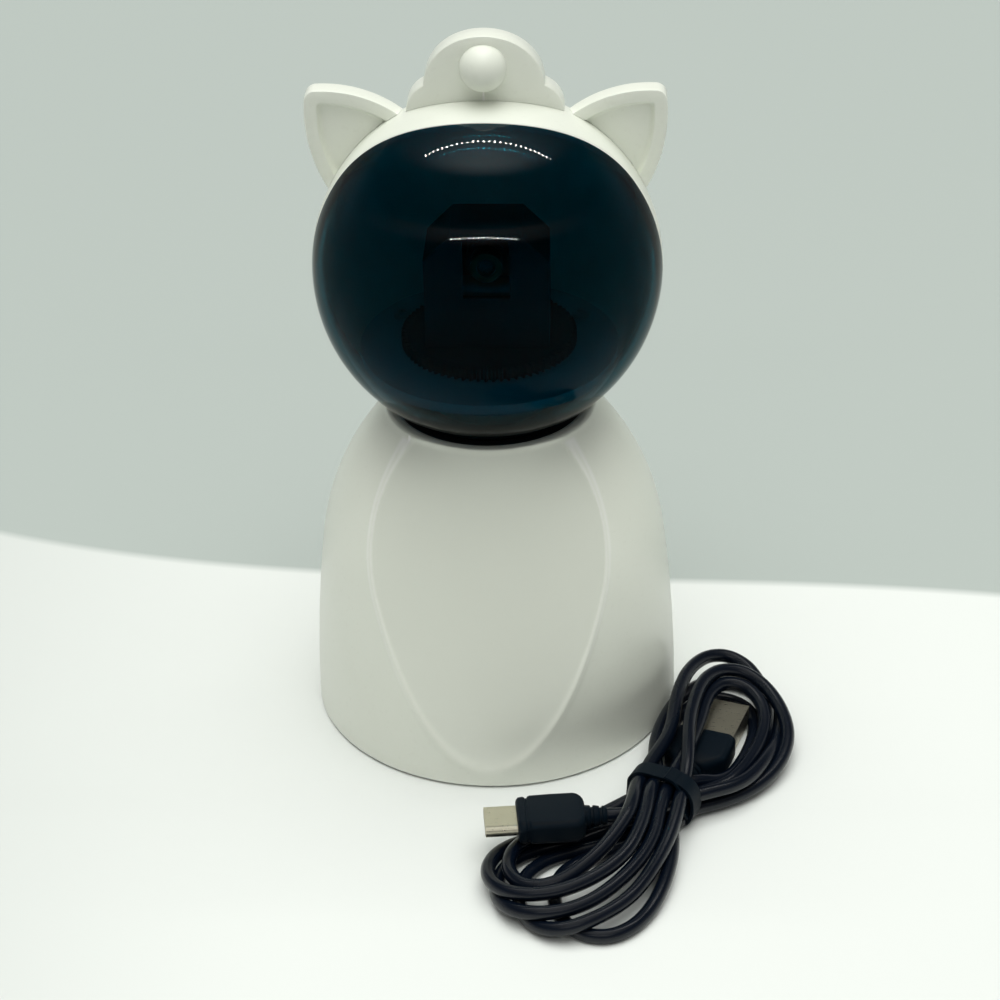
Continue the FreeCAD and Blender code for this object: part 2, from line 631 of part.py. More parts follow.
# ---------------------------------------------------------------- circuit board and what is on it
BOARD_FACE = f"({BOARD_PLACE} + board_thickness)"
board_plate = box("board_plate", ("board_width", "board_thickness", "board_height"),
                  ("0", f"{BOARD_PLACE} + board_thickness / 2", "board_foot"))
subpart("main_board", cut("main_board_cut", board_plate, *board_holes))
CHIPS = [
    ("charger_chip", "small_chip", "small_chip", "-chip_place", "port_height + 2"),
    ("logic_chip", "large_chip", "large_chip", "chip_place", "mode_height - small_chip"),
    ("coil_block", "small_chip", "small_chip", "-chip_place", "mode_height - small_chip"),
    ("motor_chip", "large_chip", "small_chip", "chip_place", f"{UPPER_SCREWS} - 6.5"),
    ("wire_header", "header_width", "header_height", "-chip_place", f"{UPPER_SCREWS} - 6.5"),
]
chips = [box(name, (width, "chip_height", height),
             (middle, f"{BOARD_FACE} + chip_height / 2", f"{level} - {height} / 2"))
         for name, width, height, middle, level in CHIPS]
subpart("board_chips", group("board_chip_set", *chips))
socket_length = f"{wall_radius('port_height', 'shell_wall')} - {BOARD_FACE}"
socket_body = slot_along_y("socket_body", "port_width", "port_depth", socket_length, "port_height",
                           BOARD_FACE)
socket_mouth = slot_along_y("socket_mouth", "port_width - 0.6", "port_depth - 0.6", socket_length,
                            "port_height", f"{BOARD_FACE} + 2")
socket_tongue = box("socket_tongue", ("6.7", "5", "0.7"),
                    ("0", f"{BOARD_FACE} + 4.3", "port_height - 0.35"))
subpart("usb_c_socket", joined("usb_c_socket_solid", cut("socket_hollow", socket_body, socket_mouth),
                               socket_tongue))
switches = []
for name, height in (("mode", "mode_height"), ("power", "power_height")):
    block = box(name + "_switch_block", ("switch_side", "switch_height", "switch_side"),
                ("0", f"{BOARD_FACE} + switch_height / 2", f"{height} - switch_side / 2"))
    switches.append(block)
subpart("tact_switches", group("tact_switch_set", *switches))
lamp_base = box("lamp_base", ("lamp_foot", "lamp_foot_height", "lamp_foot"),
                ("0", f"{BOARD_FACE} + lamp_foot_height / 2", "lamp_height - lamp_foot / 2"))
lamp_rod = cylinder("lamp_rod", "lamp_radius", f"{wall_radius('lamp_height')} - {BOARD_FACE}",
                    ("0", BOARD_FACE, "lamp_height"), "Y")
subpart("status_lamp", joined("status_lamp_solid", lamp_base, lamp_rod))


def button(node, height):
    """Round key in the shell's back: cap, flange inside the wall and a stem down to its switch."""
    wall = wall_radius(height)
    flange_face = f"({wall_radius(f'{height} + button_flange', 'shell_wall')} - slide_gap * 1.5)"
    flange_floor = f"({flange_face} - flange_thickness)"
    cap = cylinder(node + "_cap", "button_radius", f"{wall} + button_proud - {flange_floor}",
                   ("0", flange_floor, height), "Y")
    flange = cylinder(node + "_flange", "button_flange", "flange_thickness", ("0", flange_floor, height),
                      "Y")
    stem_start = f"({BOARD_FACE} + switch_height + button_travel + slide_gap)"
    stem = cylinder(node + "_stem", "button_stem", f"{flange_floor} - {stem_start}",
                    ("0", stem_start, height), "Y")
    dimple = sphere(node + "_dimple", "dimple_radius",
                    ("0", f"{wall} + button_proud + dimple_radius - dimple_depth", height))
    return subpart(node, cut(node + "_cut", joined(node + "_solid", cap, flange, stem), dimple))


button("mode_button", "mode_height")
button("power_button", "power_height")

# ---------------------------------------------------------------- seat ring and neck
ring_outer = sphere("ring_outer", "ball_radius + cup_gap - fit_gap")
ring_inner_ball = sphere("ring_inner_ball", "ball_radius + slide_gap")
ring_band = cylinder("ring_band", "lip_radius - 0.4", "lip_height - 0.4", ("0", "0", "0"))
ring_bore = cylinder("ring_bore", "ring_inner", "lip_height + 5", ("0", "0", "0"))
subpart("seat_ring", cut("seat_ring_cut", common("ring_blank", ring_outer, ring_band), ring_inner_ball,
                         ring_bore))

CUP_UNDERSIDE = "(ball_height - ball_radius - cup_gap - cup_wall)"
bush_sleeve = cylinder("bush_sleeve", "bush_radius", "cup_wall + 1 + bush_flange_height",
                       ("0", "0", f"{CUP_UNDERSIDE} - bush_flange_height"))
bush_plate = cylinder("bush_plate", "bush_flange", "bush_flange_height",
                      ("0", "0", f"{CUP_UNDERSIDE} - bush_flange_height"))
bush_bore = cylinder("bush_bore", "tube_radius + shaft_gap", "cup_wall + 8",
                     ("0", "0", f"{CUP_UNDERSIDE} - 4"))
subpart("neck_bush", cut("neck_bush_cut", joined("bush_solid", bush_sleeve, bush_plate), bush_bore))

DISH_TOP = ("(ball_height + fit_gap"
            " - sqrt((ball_radius - ball_wall - slide_gap - dish_wall)^2 - tube_flange^2))")
BUSH_FLOOR = f"({CUP_UNDERSIDE} - bush_flange_height)"
NUT_TOP = f"({BUSH_FLOOR} - slide_gap - spring_length)"
TUBE_FOOT = f"({NUT_TOP} - nut_height - 1)"
tube_rod = cylinder("tube_rod", "tube_radius", f"{DISH_TOP} - {TUBE_FOOT} + flange_height",
                    ("0", "0", TUBE_FOOT))
tube_plate = cylinder("tube_plate", "tube_flange", "flange_height", ("0", "0", DISH_TOP))
tube_hole = cylinder("tube_hole", "tube_bore", "40", ("0", "0", f"{TUBE_FOOT} - 1"))
subpart("neck_tube", cut("neck_tube_cut", joined("tube_solid", tube_rod, tube_plate), tube_hole))
dish_outer = sphere("dish_outer", "ball_radius - ball_wall - slide_gap")
dish_inner = sphere("dish_inner", "ball_radius - ball_wall - slide_gap - dish_wall")
dish_band = cylinder("dish_band", "dish_radius", "ball_height - 20", ("0", "0", "0"))
dish_bore = cylinder("dish_bore", "tube_radius + fit_gap / 2", "ball_height", ("0", "0", "0"))
subpart("clamp_dish", cut("clamp_dish_cut", common("dish_blank", dish_outer, dish_band), dish_inner,
                          dish_bore))
nut_blank = doc.addObject("Part::Prism", "nut_blank")
nut_blank.Polygon = 6
bind(nut_blank, Circumradius="nut_radius", Height="nut_height")
place(nut_blank, ("0", "0", f"{NUT_TOP} - nut_height"))
nut_bore = cylinder("nut_bore", "tube_radius + fit_gap / 2", "nut_height + 2",
                    ("0", "0", f"{NUT_TOP} - nut_height - 1"))
subpart("neck_nut", cut("neck_nut_cut", nut_blank, nut_bore))


def coil_spring(name, radius, wire, length, turns, foot):
    """Closed-end compression spring as a tube swept along a helix."""
    pitch = (length - 2 * wire) / turns
    helix = Part.makeHelix(pitch, pitch * turns, radius)
    section = Part.Wire(Part.makeCircle(wire, Vector(radius, 0, 0), Vector(0, 1, 0)))
    coil = Part.Wire(helix).makePipeShell([section], True, True)
    item = feature(name, coil)
    return place(item, ("0", "0", f"{foot} + wire_radius"))


subpart("neck_spring", coil_spring("neck_spring_coil", number("spring_radius"), number("wire_radius"),
                                   number("spring_length"), 4, NUT_TOP))

# ---------------------------------------------------------------- head shells
ball_outer = sphere("ball_outer", "ball_radius")
ball_inner = sphere("ball_inner", "ball_radius - ball_wall")
ball_shell = cut("ball_shell", ball_outer, ball_inner)


def behind_seam(name, gap):
    """Everything behind the seam: upright at the sides, then curving forward into the visor."""
    body = new_body(name)
    start = f"-seam_depth + {gap}"
    end = f"-visor_depth + {gap}"
    top = "ball_height + ball_radius + 8"
    steps = [
        ("line", start, "ball_height + visor_start"),
        ("arc", end, "ball_height + ball_radius - 1", "visor_arc", "left"),
        ("line", end, top),
        ("line", "ball_radius + 10", top),
        ("line", "ball_radius + 10", "ball_height - ball_radius - 8"),
        ("line", start, "ball_height - ball_radius - 8"),
    ]
    sketch = sketch_on(body, name + "_outline", "YZ_Plane", (start, "ball_height - ball_radius - 8"), steps,
                       "-ball_radius - 10")
    pad(body, sketch, "2 * ball_radius + 20")
    return body


foot_column = cylinder("foot_column", "foot_cap_radius + fit_gap", "ball_height", ("0", "0", "0"))
rear_side = behind_seam("rear_side", "0")
dome_side = behind_seam("dome_side", "-fit_gap")
rear_blank = cut("rear_blank", common("rear_half", ball_shell, rear_side), foot_column)
FRAME_TOP = "(ball_height - frame_depth)"
FRAME_FLOOR = "(ball_height - frame_depth - frame_thickness)"
HEAD_BOSSES = {
    "left": ("-side_boss_x", "side_boss_y"),
    "right": ("side_boss_x", "side_boss_y"),
    "back_left": ("-back_boss_x", "back_boss_y"),
    "back_right": ("back_boss_x", "back_boss_y"),
}
head_bosses = []
frame_screws = []
head_holes = []
frame_holes = []
for name, (x, y) in HEAD_BOSSES.items():
    head_bosses.append(cylinder(f"head_boss_{name}", "head_boss_radius", "ball_radius",
                                (x, y, f"{FRAME_FLOOR} - ball_radius")))
    head_holes.append(cylinder(f"head_boss_hole_{name}", "small_screw_radius + fit_gap",
                               "frame_screw_length",
                               (x, y, f"{FRAME_TOP} - frame_screw_length - fit_gap")))
    frame_holes.append(cylinder(f"frame_hole_{name}", "small_screw_radius + fit_gap", "frame_thickness + 2",
                                (x, y, f"{FRAME_FLOOR} - 1")))
    frame_screws.append(pan_screw(f"frame_screw_{name}", (x, y, FRAME_TOP), "small_screw_radius",
                                  "frame_screw_length", "small_head_radius", "small_head_height", "-Z"))
bosses_in_ball = common("head_bosses_inside", group("head_boss_set", *head_bosses), ball_outer)


def radial_tongue(name, width, thickness, depth_place, angle, length, start):
    """Bar that stands on the ball along a radius leaning by angle from upright in the XZ plane."""
    lean = math.radians(angle)
    item = bind(doc.addObject("Part::Box", name), Length=width, Width=thickness, Height=length)
    corner = (f"({start}) * {math.sin(lean):.6f} - ({width}) / 2 * {math.cos(lean):.6f}",
              f"{depth_place} - ({thickness}) / 2",
              f"ball_height + ({start}) * {math.cos(lean):.6f} + ({width}) / 2 * {math.sin(lean):.6f}")
    return place(item, corner, FreeCAD.Rotation(Vector(0, 1, 0), angle))


EAR_MIDDLE = "(ear_front + ear_thickness / 2)"
EAR_ANGLE = 46
TONGUE_START = "ball_radius - ball_wall - 1.5"
TONGUE_LENGTH = "ball_wall + 3"
ear_slot = radial_tongue("ear_slot", "ear_tongue_width + 2 * fit_gap", "tongue_thickness + 2 * fit_gap",
                         EAR_MIDDLE, EAR_ANGLE,
                         "ball_wall + 4", "ball_radius - ball_wall - 2")
ear_slot_left = mirrored("ear_slot_left", ear_slot)
crown_slot = radial_tongue("crown_slot", "crown_tongue_width + 2 * fit_gap",
                           "tongue_thickness + 2 * fit_gap", "crown_thickness / 2 + 0.4",
                           0, "ball_wall + 4", "ball_radius - ball_wall - 2")
rear_with_bosses = joined("rear_with_bosses", rear_blank, bosses_in_ball)
subpart("rear_shell", cut("rear_shell_cut", rear_with_bosses, ear_slot, ear_slot_left, crown_slot,
                          *head_holes))

dome_blank = cut("dome_blank", ball_shell, dome_side, foot_column)
subpart("front_dome", dome_blank)

foot_cap = common("foot_cap", ball_shell, cylinder("foot_cap_round", "foot_cap_radius", "ball_height",
                                                   ("0", "0", "0")))
SLOT_REACH = "(ball_radius * sin(head_tilt_range) + slide_gap)"
slot_box = box("slot_box", ("2 * (tube_radius + slide_gap)", f"2 * {SLOT_REACH}", "20"),
               ("0", "0", "ball_height - ball_radius - 8"))
slot_front = cylinder("slot_front", "tube_radius + slide_gap", "20",
                      ("0", f"-{SLOT_REACH}", "ball_height - ball_radius - 8"))
slot_back = cylinder("slot_back", "tube_radius + slide_gap", "20",
                     ("0", SLOT_REACH, "ball_height - ball_radius - 8"))
foot_posts = []
for side in (-1, 1):
    post = cylinder(f"foot_post_{side + 1}", "foot_post_radius",
                    f"{FRAME_FLOOR} - ball_height + ball_radius",
                    (f"{side} * foot_post_place", "0", "ball_height - ball_radius"))
    foot_posts.append(common(f"foot_post_in_ball_{side + 1}", post, ball_outer))
subpart("head_foot", cut("head_foot_cut", joined("head_foot_solid", foot_cap, *foot_posts),
                         slot_box, slot_front, slot_back))

# ---------------------------------------------------------------- ears and crown
EAR_TIP_HEIGHT = "(ball_height + ear_rise)"
EAR_FOOT = ("ear_reach - 6.6", f"{EAR_TIP_HEIGHT} - 26")
EAR_STEPS = [
    ("arc", "ear_reach", f"{EAR_TIP_HEIGHT} - 2.4", "34", "left"),
    ("arc", "ear_reach - 2.0", f"{EAR_TIP_HEIGHT} - 0.4", "2.4", "left"),
    ("arc", "ear_reach - 22.6", f"{EAR_TIP_HEIGHT} - 8.6", "26", "left"),
    ("line", *EAR_FOOT),
]
# The sunk face follows the same two long arcs, each drawn in by the rim, up to where they meet.
SIDE_ARC, TOP_ARC = "(34 - ear_rim)", "(26 - ear_rim)"
FACE_ALONG = f"((1342.69 + {SIDE_ARC}^2 - {TOP_ARC}^2) / 73.285)"
FACE_OFF = f"sqrt({SIDE_ARC}^2 - {FACE_ALONG}^2)"
FACE_FOOT = (f"ear_reach - 33.843 + 0.8013 * {SIDE_ARC}", f"{EAR_TIP_HEIGHT} - 5.658 - 0.5983 * {SIDE_ARC}")
FACE_STEPS = [
    ("arc", f"ear_reach - 33.843 + 0.8253 * {FACE_ALONG} + 0.5647 * {FACE_OFF}",
     f"{EAR_TIP_HEIGHT} - 5.658 - 0.5647 * {FACE_ALONG} + 0.8253 * {FACE_OFF}", SIDE_ARC, "left"),
    ("arc", f"ear_reach - 3.603 - 0.7307 * {TOP_ARC}", f"{EAR_TIP_HEIGHT} - 26.351 + 0.6827 * {TOP_ARC}",
     TOP_ARC, "left"),
    ("line", *FACE_FOOT),
]

ear_body = new_body("ear_body")
ear_sketch = sketch_on(ear_body, "ear_shape", "XZ_Plane", EAR_FOOT, EAR_STEPS, "-ear_front - ear_thickness")
ear_plate = pad(ear_body, ear_sketch, "ear_thickness")
ear_plate = rounded(ear_body, ear_plate, "ear_round",
                    lambda edge: edge.CenterOfMass.x + edge.CenterOfMass.z > number("ear_reach + ball_height + ear_rise") - 17
                    and abs(edge.tangentAt(edge.FirstParameter).y) < 0.1)
recess_sketch = sketch_on(ear_body, "ear_recess_shape", "XZ_Plane", FACE_FOOT, FACE_STEPS, "-ear_front")
pocket(ear_body, recess_sketch, "ear_recess")
ear_tongue = radial_tongue("ear_tongue", "ear_tongue_width", "tongue_thickness", EAR_MIDDLE, EAR_ANGLE,
                           TONGUE_LENGTH, TONGUE_START)
ear_clear = sphere("ear_clear", "ball_radius + fit_gap / 2", along="Y")
right_ear = joined("right_ear_solid", cut("right_ear_blank", ear_body, ear_clear), ear_tongue)
subpart("right_ear", right_ear)
subpart("left_ear", mirrored("left_ear_mirror", right_ear))

crown_body = new_body("crown_body")
CROWN_TOP = "(ball_height + crown_rise)"
ARCH_CENTRE = "(ball_height + crown_rise - crown_arch)"
LOBE_HEIGHT = "(ball_height + crown_lobe_rise)"
NOTCH = "(crown_arch * 0.992)"
NOTCH_HEIGHT = f"({ARCH_CENTRE} + crown_arch * 0.1262)"
NOTCH_SHORT = f"({LOBE_HEIGHT} + sqrt(crown_lobe^2 - ({NOTCH} - crown_lobe_place)^2))"
crown_steps = [
    ("line", "crown_lobe_place + crown_lobe", "ball_height + 24"),
    ("line", "crown_lobe_place + crown_lobe", LOBE_HEIGHT),
    ("arc", NOTCH, NOTCH_SHORT, "crown_lobe", "left"),
    ("line", NOTCH, NOTCH_HEIGHT),
    ("arc", "0", CROWN_TOP, "crown_arch", "left"),
    ("arc", f"-{NOTCH}", NOTCH_HEIGHT, "crown_arch", "left"),
    ("line", f"-{NOTCH}", NOTCH_SHORT),
    ("arc", "-crown_lobe_place - crown_lobe", LOBE_HEIGHT, "crown_lobe", "left"),
    ("line", "-crown_lobe_place - crown_lobe", "ball_height + 24"),
]
crown_sketch = sketch_on(crown_body, "crown_shape", "XZ_Plane",
                         ("-crown_lobe_place - crown_lobe", "ball_height + 24"), crown_steps, "-14")
pad(crown_body, crown_sketch, "16")
crown_front = cylinder("crown_front", "crown_radius", "crown_rise",
                       ("0", "crown_radius", "ball_height + 15"))
crown_back = cylinder("crown_back", "crown_radius - crown_thickness", "crown_rise + 10",
                      ("0", "crown_radius", "ball_height + 10"))
crown_curved = cut("crown_curved", common("crown_bent", crown_body, crown_front), crown_back,
                   sphere("crown_clear", "ball_radius + fit_gap / 2", along="X"))
crown_tongue = radial_tongue("crown_tongue", "crown_tongue_width", "tongue_thickness",
                             "crown_thickness / 2 + 0.4", 0,
                             TONGUE_LENGTH, TONGUE_START)
subpart("crown", joined("crown_solid", crown_tongue, crown_curved))
pearl_ball = sphere("pearl_ball", "pearl_radius", ("0", "-0.3", "ball_height + pearl_rise"))
pearl_trim = cylinder("pearl_trim", "crown_radius", "crown_rise", ("0", "crown_radius", "ball_height + 15"))
subpart("crown_pearl", cut("crown_pearl_cut", pearl_ball, pearl_trim))

# ---------------------------------------------------------------- head frame, turret axle and gears
GEAR_REACH = "(gear_module * (turret_teeth + motor_teeth) / 2)"
frame_disc = cylinder("frame_disc", "frame_radius", "frame_thickness", ("0", "0", FRAME_FLOOR))
motor_tower = box("motor_tower", ("tower_width", "tower_depth", "tower_height"),
                  ("0", f"{GEAR_REACH} + pan_motor_radius - 0.6", FRAME_TOP))
motor_bore = cylinder("motor_bore", "pan_motor_radius + fit_gap", "pan_motor_length + tower_height",
                      ("0", GEAR_REACH, f"{FRAME_TOP} + 2.6"))
pinion_room = cylinder("pinion_room", "gear_module * (motor_teeth / 2 + 2)", "tower_height",
                       ("0", GEAR_REACH, FRAME_TOP))
axle_seat = cylinder("axle_seat", "axle_radius", "frame_thickness + 2", ("0", "0", f"{FRAME_FLOOR} - 1"))
subpart("head_frame", cut("head_frame_cut", joined("frame_solid", frame_disc, motor_tower),
                          motor_bore, pinion_room, axle_seat, *frame_holes))
axle_rod = cylinder("axle_rod", "axle_radius", "axle_length + frame_thickness", ("0", "0", FRAME_FLOOR))
axle_hole = cylinder("axle_hole", "axle_bore", "axle_length + 10", ("0", "0", f"{FRAME_FLOOR} - 2"))
subpart("turret_axle", cut("turret_axle_cut", axle_rod, axle_hole))
subpart("frame_screws", group("frame_screw_set", *frame_screws))
CLIP_FLOOR = "(ball_height - frame_depth + 2 * slide_gap + hub_height)"
clip_disc = cylinder("clip_disc", "axle_radius + 1.6", "clip_thickness", ("0", "0", CLIP_FLOOR))
clip_bore = cylinder("clip_bore", "axle_radius", "clip_thickness + 2", ("0", "0", f"{CLIP_FLOOR} - 1"))
clip_gap = box("clip_gap", ("axle_radius * 1.2", "axle_radius + 3", "clip_thickness + 2"),
               ("0", "-axle_radius / 2 - 1.5", f"{CLIP_FLOOR} - 1"))
subpart("axle_clip", cut("axle_clip_cut", clip_disc, clip_bore, clip_gap))


def gear_wire(teeth, module, phase, first=0, count=None, thin=0.86):
    """Toothed outline about the origin; with count, only that many teeth and a round back."""
    pitch = module * teeth / 2
    tip, root = pitch + 0.85 * module, pitch - 1.15 * module
    step = 2 * math.pi / teeth
    half = step / 4 * thin
    points = []
    shown = range(first, first + (count or teeth))

    def spot(radius, angle):
        return Vector(radius * math.cos(angle), radius * math.sin(angle), 0)

    for tooth in shown:
        middle = phase + tooth * step
        points += [spot(root, middle - half * 1.45), spot(pitch, middle - half),
                   spot(tip, middle - half * 0.5), spot(tip, middle + half * 0.5),
                   spot(pitch, middle + half), spot(root, middle + half * 1.45)]
    if count:
        points.append(spot(0, 0))
    edges = [Part.LineSegment(a, b).toShape() for a, b in zip(points, points[1:] + points[:1])]
    return Part.Wire(edges)


def gear(name, teeth, module, width, phase, first=0, count=None):
    return feature(name,
                   Part.Face(gear_wire(teeth, module, phase, first, count)).extrude(Vector(0, 0, width)))


GEAR_FLOOR = "(ball_height - frame_depth + slide_gap)"
module_size = number("gear_module")
turret_teeth = int(number("turret_teeth"))
motor_teeth = int(number("motor_teeth"))
big_gear = gear("big_gear", turret_teeth, module_size, number("gear_width"), math.pi / 2)
place(big_gear, ("0", "0", GEAR_FLOOR))
gear_hub = cylinder("gear_hub", "axle_radius + hub_wall", "hub_height", ("0", "0", GEAR_FLOOR))
gear_bore = cylinder("gear_bore", "axle_radius + shaft_gap", "axle_length + 5",
                     ("0", "0", f"{GEAR_FLOOR} - 1"))
subpart("turret_gear", cut("turret_gear_cut", joined("turret_gear_solid", big_gear, gear_hub), gear_bore))
small_phase = -math.pi / 2 + math.pi / motor_teeth
small_gear = gear("small_gear", motor_teeth, module_size, number("gear_width"), small_phase)
place(small_gear, ("0", GEAR_REACH, GEAR_FLOOR))
MOTOR_FLOOR = f"({GEAR_FLOOR} + gear_width + 0.6)"
small_shaft = cylinder("small_shaft", "shaft_radius", "gear_width + 3", ("0", GEAR_REACH, GEAR_FLOOR))
subpart("motor_pinion", joined("motor_pinion_solid", small_gear, small_shaft))
pan_can = cylinder("pan_can", "pan_motor_radius", "pan_motor_length", ("0", GEAR_REACH, MOTOR_FLOOR))
pan_end = cylinder("pan_end", "pan_motor_radius * 0.4", "pan_motor_length + 1.2",
                   ("0", GEAR_REACH, MOTOR_FLOOR))
pan_shaft_bore = cylinder("pan_shaft_bore", "shaft_radius + shaft_gap", "gear_width + 3",
                          ("0", GEAR_REACH, f"{MOTOR_FLOOR} - 1"))
subpart("pan_motor", cut("pan_motor_cut", joined("pan_motor_solid", pan_can, pan_end), pan_shaft_bore))

# ---------------------------------------------------------------- turret housing
TURRET_FLOOR = "(ball_height - frame_depth + slide_gap + gear_width)"
TURRET_TOP = f"({TURRET_FLOOR} + turret_height)"
LASER_HEIGHT = "(ball_height + laser_rise)"


def turret_block(name, inset, depth, front, floor):
    """Front view of the turret: a block with chamfered shoulders, a given depth inside its walls."""
    body = new_body(name)
    half = f"(turret_width / 2 - {inset})"
    corner = f"(turret_corner - {inset} * 0.586)"
    top = f"({TURRET_TOP} - {inset})"
    steps = [
        ("line", half, floor),
        ("line", half, f"{top} - {corner}"),
        ("line", f"{half} - {corner}", top),
        ("line", f"-{half} + {corner}", top),
        ("line", f"-{half}", f"{top} - {corner}"),
        ("line", f"-{half}", floor),
    ]
    sketch = sketch_on(body, name + "_outline", "XZ_Plane", (f"-{half}", floor), steps,
                       f"{front} - {depth}")
    pad(body, sketch, depth)
    return body


turret_outer = turret_block("turret_outer", "0", "(turret_depth - turret_wall)", "(turret_depth / 2)",
                            TURRET_FLOOR)
turret_inner = turret_block("turret_inner", "turret_wall", "(turret_depth)",
                            "(turret_depth / 2 - turret_wall)", f"({TURRET_FLOOR} - 1)")
window = box("laser_window", ("window_width", "turret_wall * 3", "window_height"),
             ("0", "-turret_depth / 2", f"{LASER_HEIGHT} - window_height / 2"))
pin_bore = cylinder("pin_bore", "pin_radius + shaft_gap", "turret_width + 4",
                    ("-turret_width / 2 - 2", "0", LASER_HEIGHT), "X")
TILT_REACH = "(gear_module * (sector_teeth + tilt_teeth) / 2)"
TILT_HEIGHT = f"({LASER_HEIGHT} - {TILT_REACH})"
TILT_MOTOR_END = "(sector_place - 1.2)"
saddle = box("tilt_saddle", ("saddle_width", "turret_depth - 2 * turret_wall",
                             f"{TILT_HEIGHT} - {TURRET_FLOOR} - 0.6"),
             (f"{TILT_MOTOR_END} - saddle_place", "0", TURRET_FLOOR))
saddle_bore = cylinder("saddle_bore", "tilt_motor_radius + fit_gap / 2", "tilt_motor_length + 8",
                       (f"{TILT_MOTOR_END} - tilt_motor_length - 4", "0", TILT_HEIGHT), "X")
hub_room = cylinder("hub_room", "axle_radius + hub_wall + fit_gap", "axle_length",
                    ("0", "0", f"{TURRET_FLOOR} - 2"))
turret_shell = cut("turret_shell", turret_outer, turret_inner)
subpart("turret_housing", cut("turret_housing_cut", joined("turret_with_saddle", turret_shell, saddle),
                              window, pin_bore, saddle_bore, hub_room))
turret_back = turret_block("turret_back_plate", "0", "(turret_wall - fit_gap)",
                           "(-turret_depth / 2 + turret_wall - fit_gap)", TURRET_FLOOR)
subpart("turret_back", turret_back)

# ---------------------------------------------------------------- laser cradle and its drive
sector_teeth = int(number("sector_teeth"))
tilt_teeth = int(number("tilt_teeth"))
clamp_ring = cylinder("clamp_ring", "clamp_radius", "clamp_length",
                      ("0", "-clamp_length / 2", LASER_HEIGHT), "Y")
clamp_bore = cylinder("clamp_bore", "laser_radius", "clamp_length + 2",
                      ("0", "-clamp_length / 2 - 1", LASER_HEIGHT), "Y")
PIN_FOOT = "(laser_radius + 0.6)"
PIN_TIP = "(turret_width / 2 - 0.4)"
pin_right = cylinder("pin_right", "pin_radius", f"{PIN_TIP} - {PIN_FOOT}", (PIN_FOOT, "0", LASER_HEIGHT),
                     "X")
pin_left = cylinder("pin_left", "pin_radius", f"{PIN_TIP} - {PIN_FOOT}",
                    (f"-{PIN_TIP}", "0", LASER_HEIGHT), "X")
SECTOR_COUNT = 5
sector_solid = gear("sector_solid", sector_teeth, module_size, number("sector_width"),
                    0, -(SECTOR_COUNT // 2), SECTOR_COUNT)
FACING_DOWN = FreeCAD.Rotation(Vector(0, 0, -1), Vector(0, 1, 0), Vector(1, 0, 0), "ZXY")
FACING_UP = FreeCAD.Rotation(Vector(0, 0, 1), Vector(0, -1, 0), Vector(1, 0, 0), "ZXY")
place(sector_solid, ("sector_place", "0", LASER_HEIGHT), FACING_DOWN)
cradle_solid = joined("laser_cradle_solid", clamp_ring, pin_right, pin_left, sector_solid)
subpart("laser_cradle", cut("laser_cradle_cut", cradle_solid, clamp_bore))
module_can = cylinder("module_can", "laser_radius", "laser_length", ("0", "-laser_front", LASER_HEIGHT),
                      "Y")
module_mouth = cylinder("module_mouth", "lens_radius", "2", ("0", "-laser_front - 1", LASER_HEIGHT), "Y")
subpart("laser_module", cut("laser_module_cut", module_can, module_mouth))
lens_ball = sphere("lens_ball", "lens_radius * 1.6",
                   ("0", "-laser_front + lens_radius * 1.6 + 0.2", LASER_HEIGHT))
lens_disc = cylinder("lens_disc", "lens_radius", "0.8", ("0", "-laser_front + 0.2", LASER_HEIGHT), "Y")
subpart("laser_lens", common("laser_lens_solid", lens_ball, lens_disc))
tilt_can = cylinder("tilt_can", "tilt_motor_radius", "tilt_motor_length",
                    (f"{TILT_MOTOR_END} - tilt_motor_length", "0", TILT_HEIGHT), "X")
tilt_bore = cylinder("tilt_bore", "shaft_radius + shaft_gap", "4",
                     (f"{TILT_MOTOR_END} - 3", "0", TILT_HEIGHT), "X")
subpart("tilt_motor", cut("tilt_motor_cut", tilt_can, tilt_bore))
tilt_gear = gear("tilt_gear", tilt_teeth, module_size, number("sector_width"), math.pi / tilt_teeth)
place(tilt_gear, ("sector_place", "0", TILT_HEIGHT), FACING_UP)
tilt_shaft = cylinder("tilt_shaft", "shaft_radius", "sector_width + 3",
                      (f"{TILT_MOTOR_END} - 2", "0", TILT_HEIGHT), "X")
subpart("tilt_pinion", joined("tilt_pinion_solid", tilt_gear, tilt_shaft))

# ---------------------------------------------------------------- charging cable, lying in a tied bundle
TIE_SPOT = Vector(36.5, -49.0, 0)
BUNDLE_TURN = 63.9
SMALL_PLUG_SPOT = Vector(6.4, -61.9, 8.8)
SMALL_PLUG_TURN = 6.0
LARGE_PLUG_SPOT = Vector(46.43, -26.7, 3.4)
LARGE_PLUG_TURN = -109.3
LEAD_ROUTE = [(24.8, -59.97, 8.8), (28.7, -59.56, 8.8), (32.3, -57.6, 8.6), (34.9, -54.6, 8.2)]
TAIL_ROUTE = [(40.15, -44.63, 3.4), (38.83, -48.41, 3.4)]
LOWER_LOOP = [(-4, 11.6), (-11, 12.8), (-20, 12.6), (-29, 12.8), (-39, 12.6), (-46, 8.0), (-47, 0),
              (-46, -12), (-41.5, -21), (-32, -21.5), (-16, -13.5), (-4, -6.6)]
LOWER_HOLE = [(-15, 3.0), (-27, 4.5), (-35, 1.0), (-36, -8.0), (-30, -12.5), (-18, -5.0)]
UPPER_LOOP = [(2, -6.6), (18, -10.5), (31, -12.5), (43, -12.5), (51.5, -7.5), (50, 1), (45.5, 6.5),
              (35, 13.6), (25, 16.0), (14, 16.2), (3, 9.0)]
UPPER_HOLE = [(14, -3.0), (30, -6.0), (42, -5.0), (42.5, -1.0), (34, 6.5), (24, 8.5), (15, 7.0)]
LOWER_LOOP_HEIGHT = 5.4
UPPER_LOOP_HEIGHT = 9.6


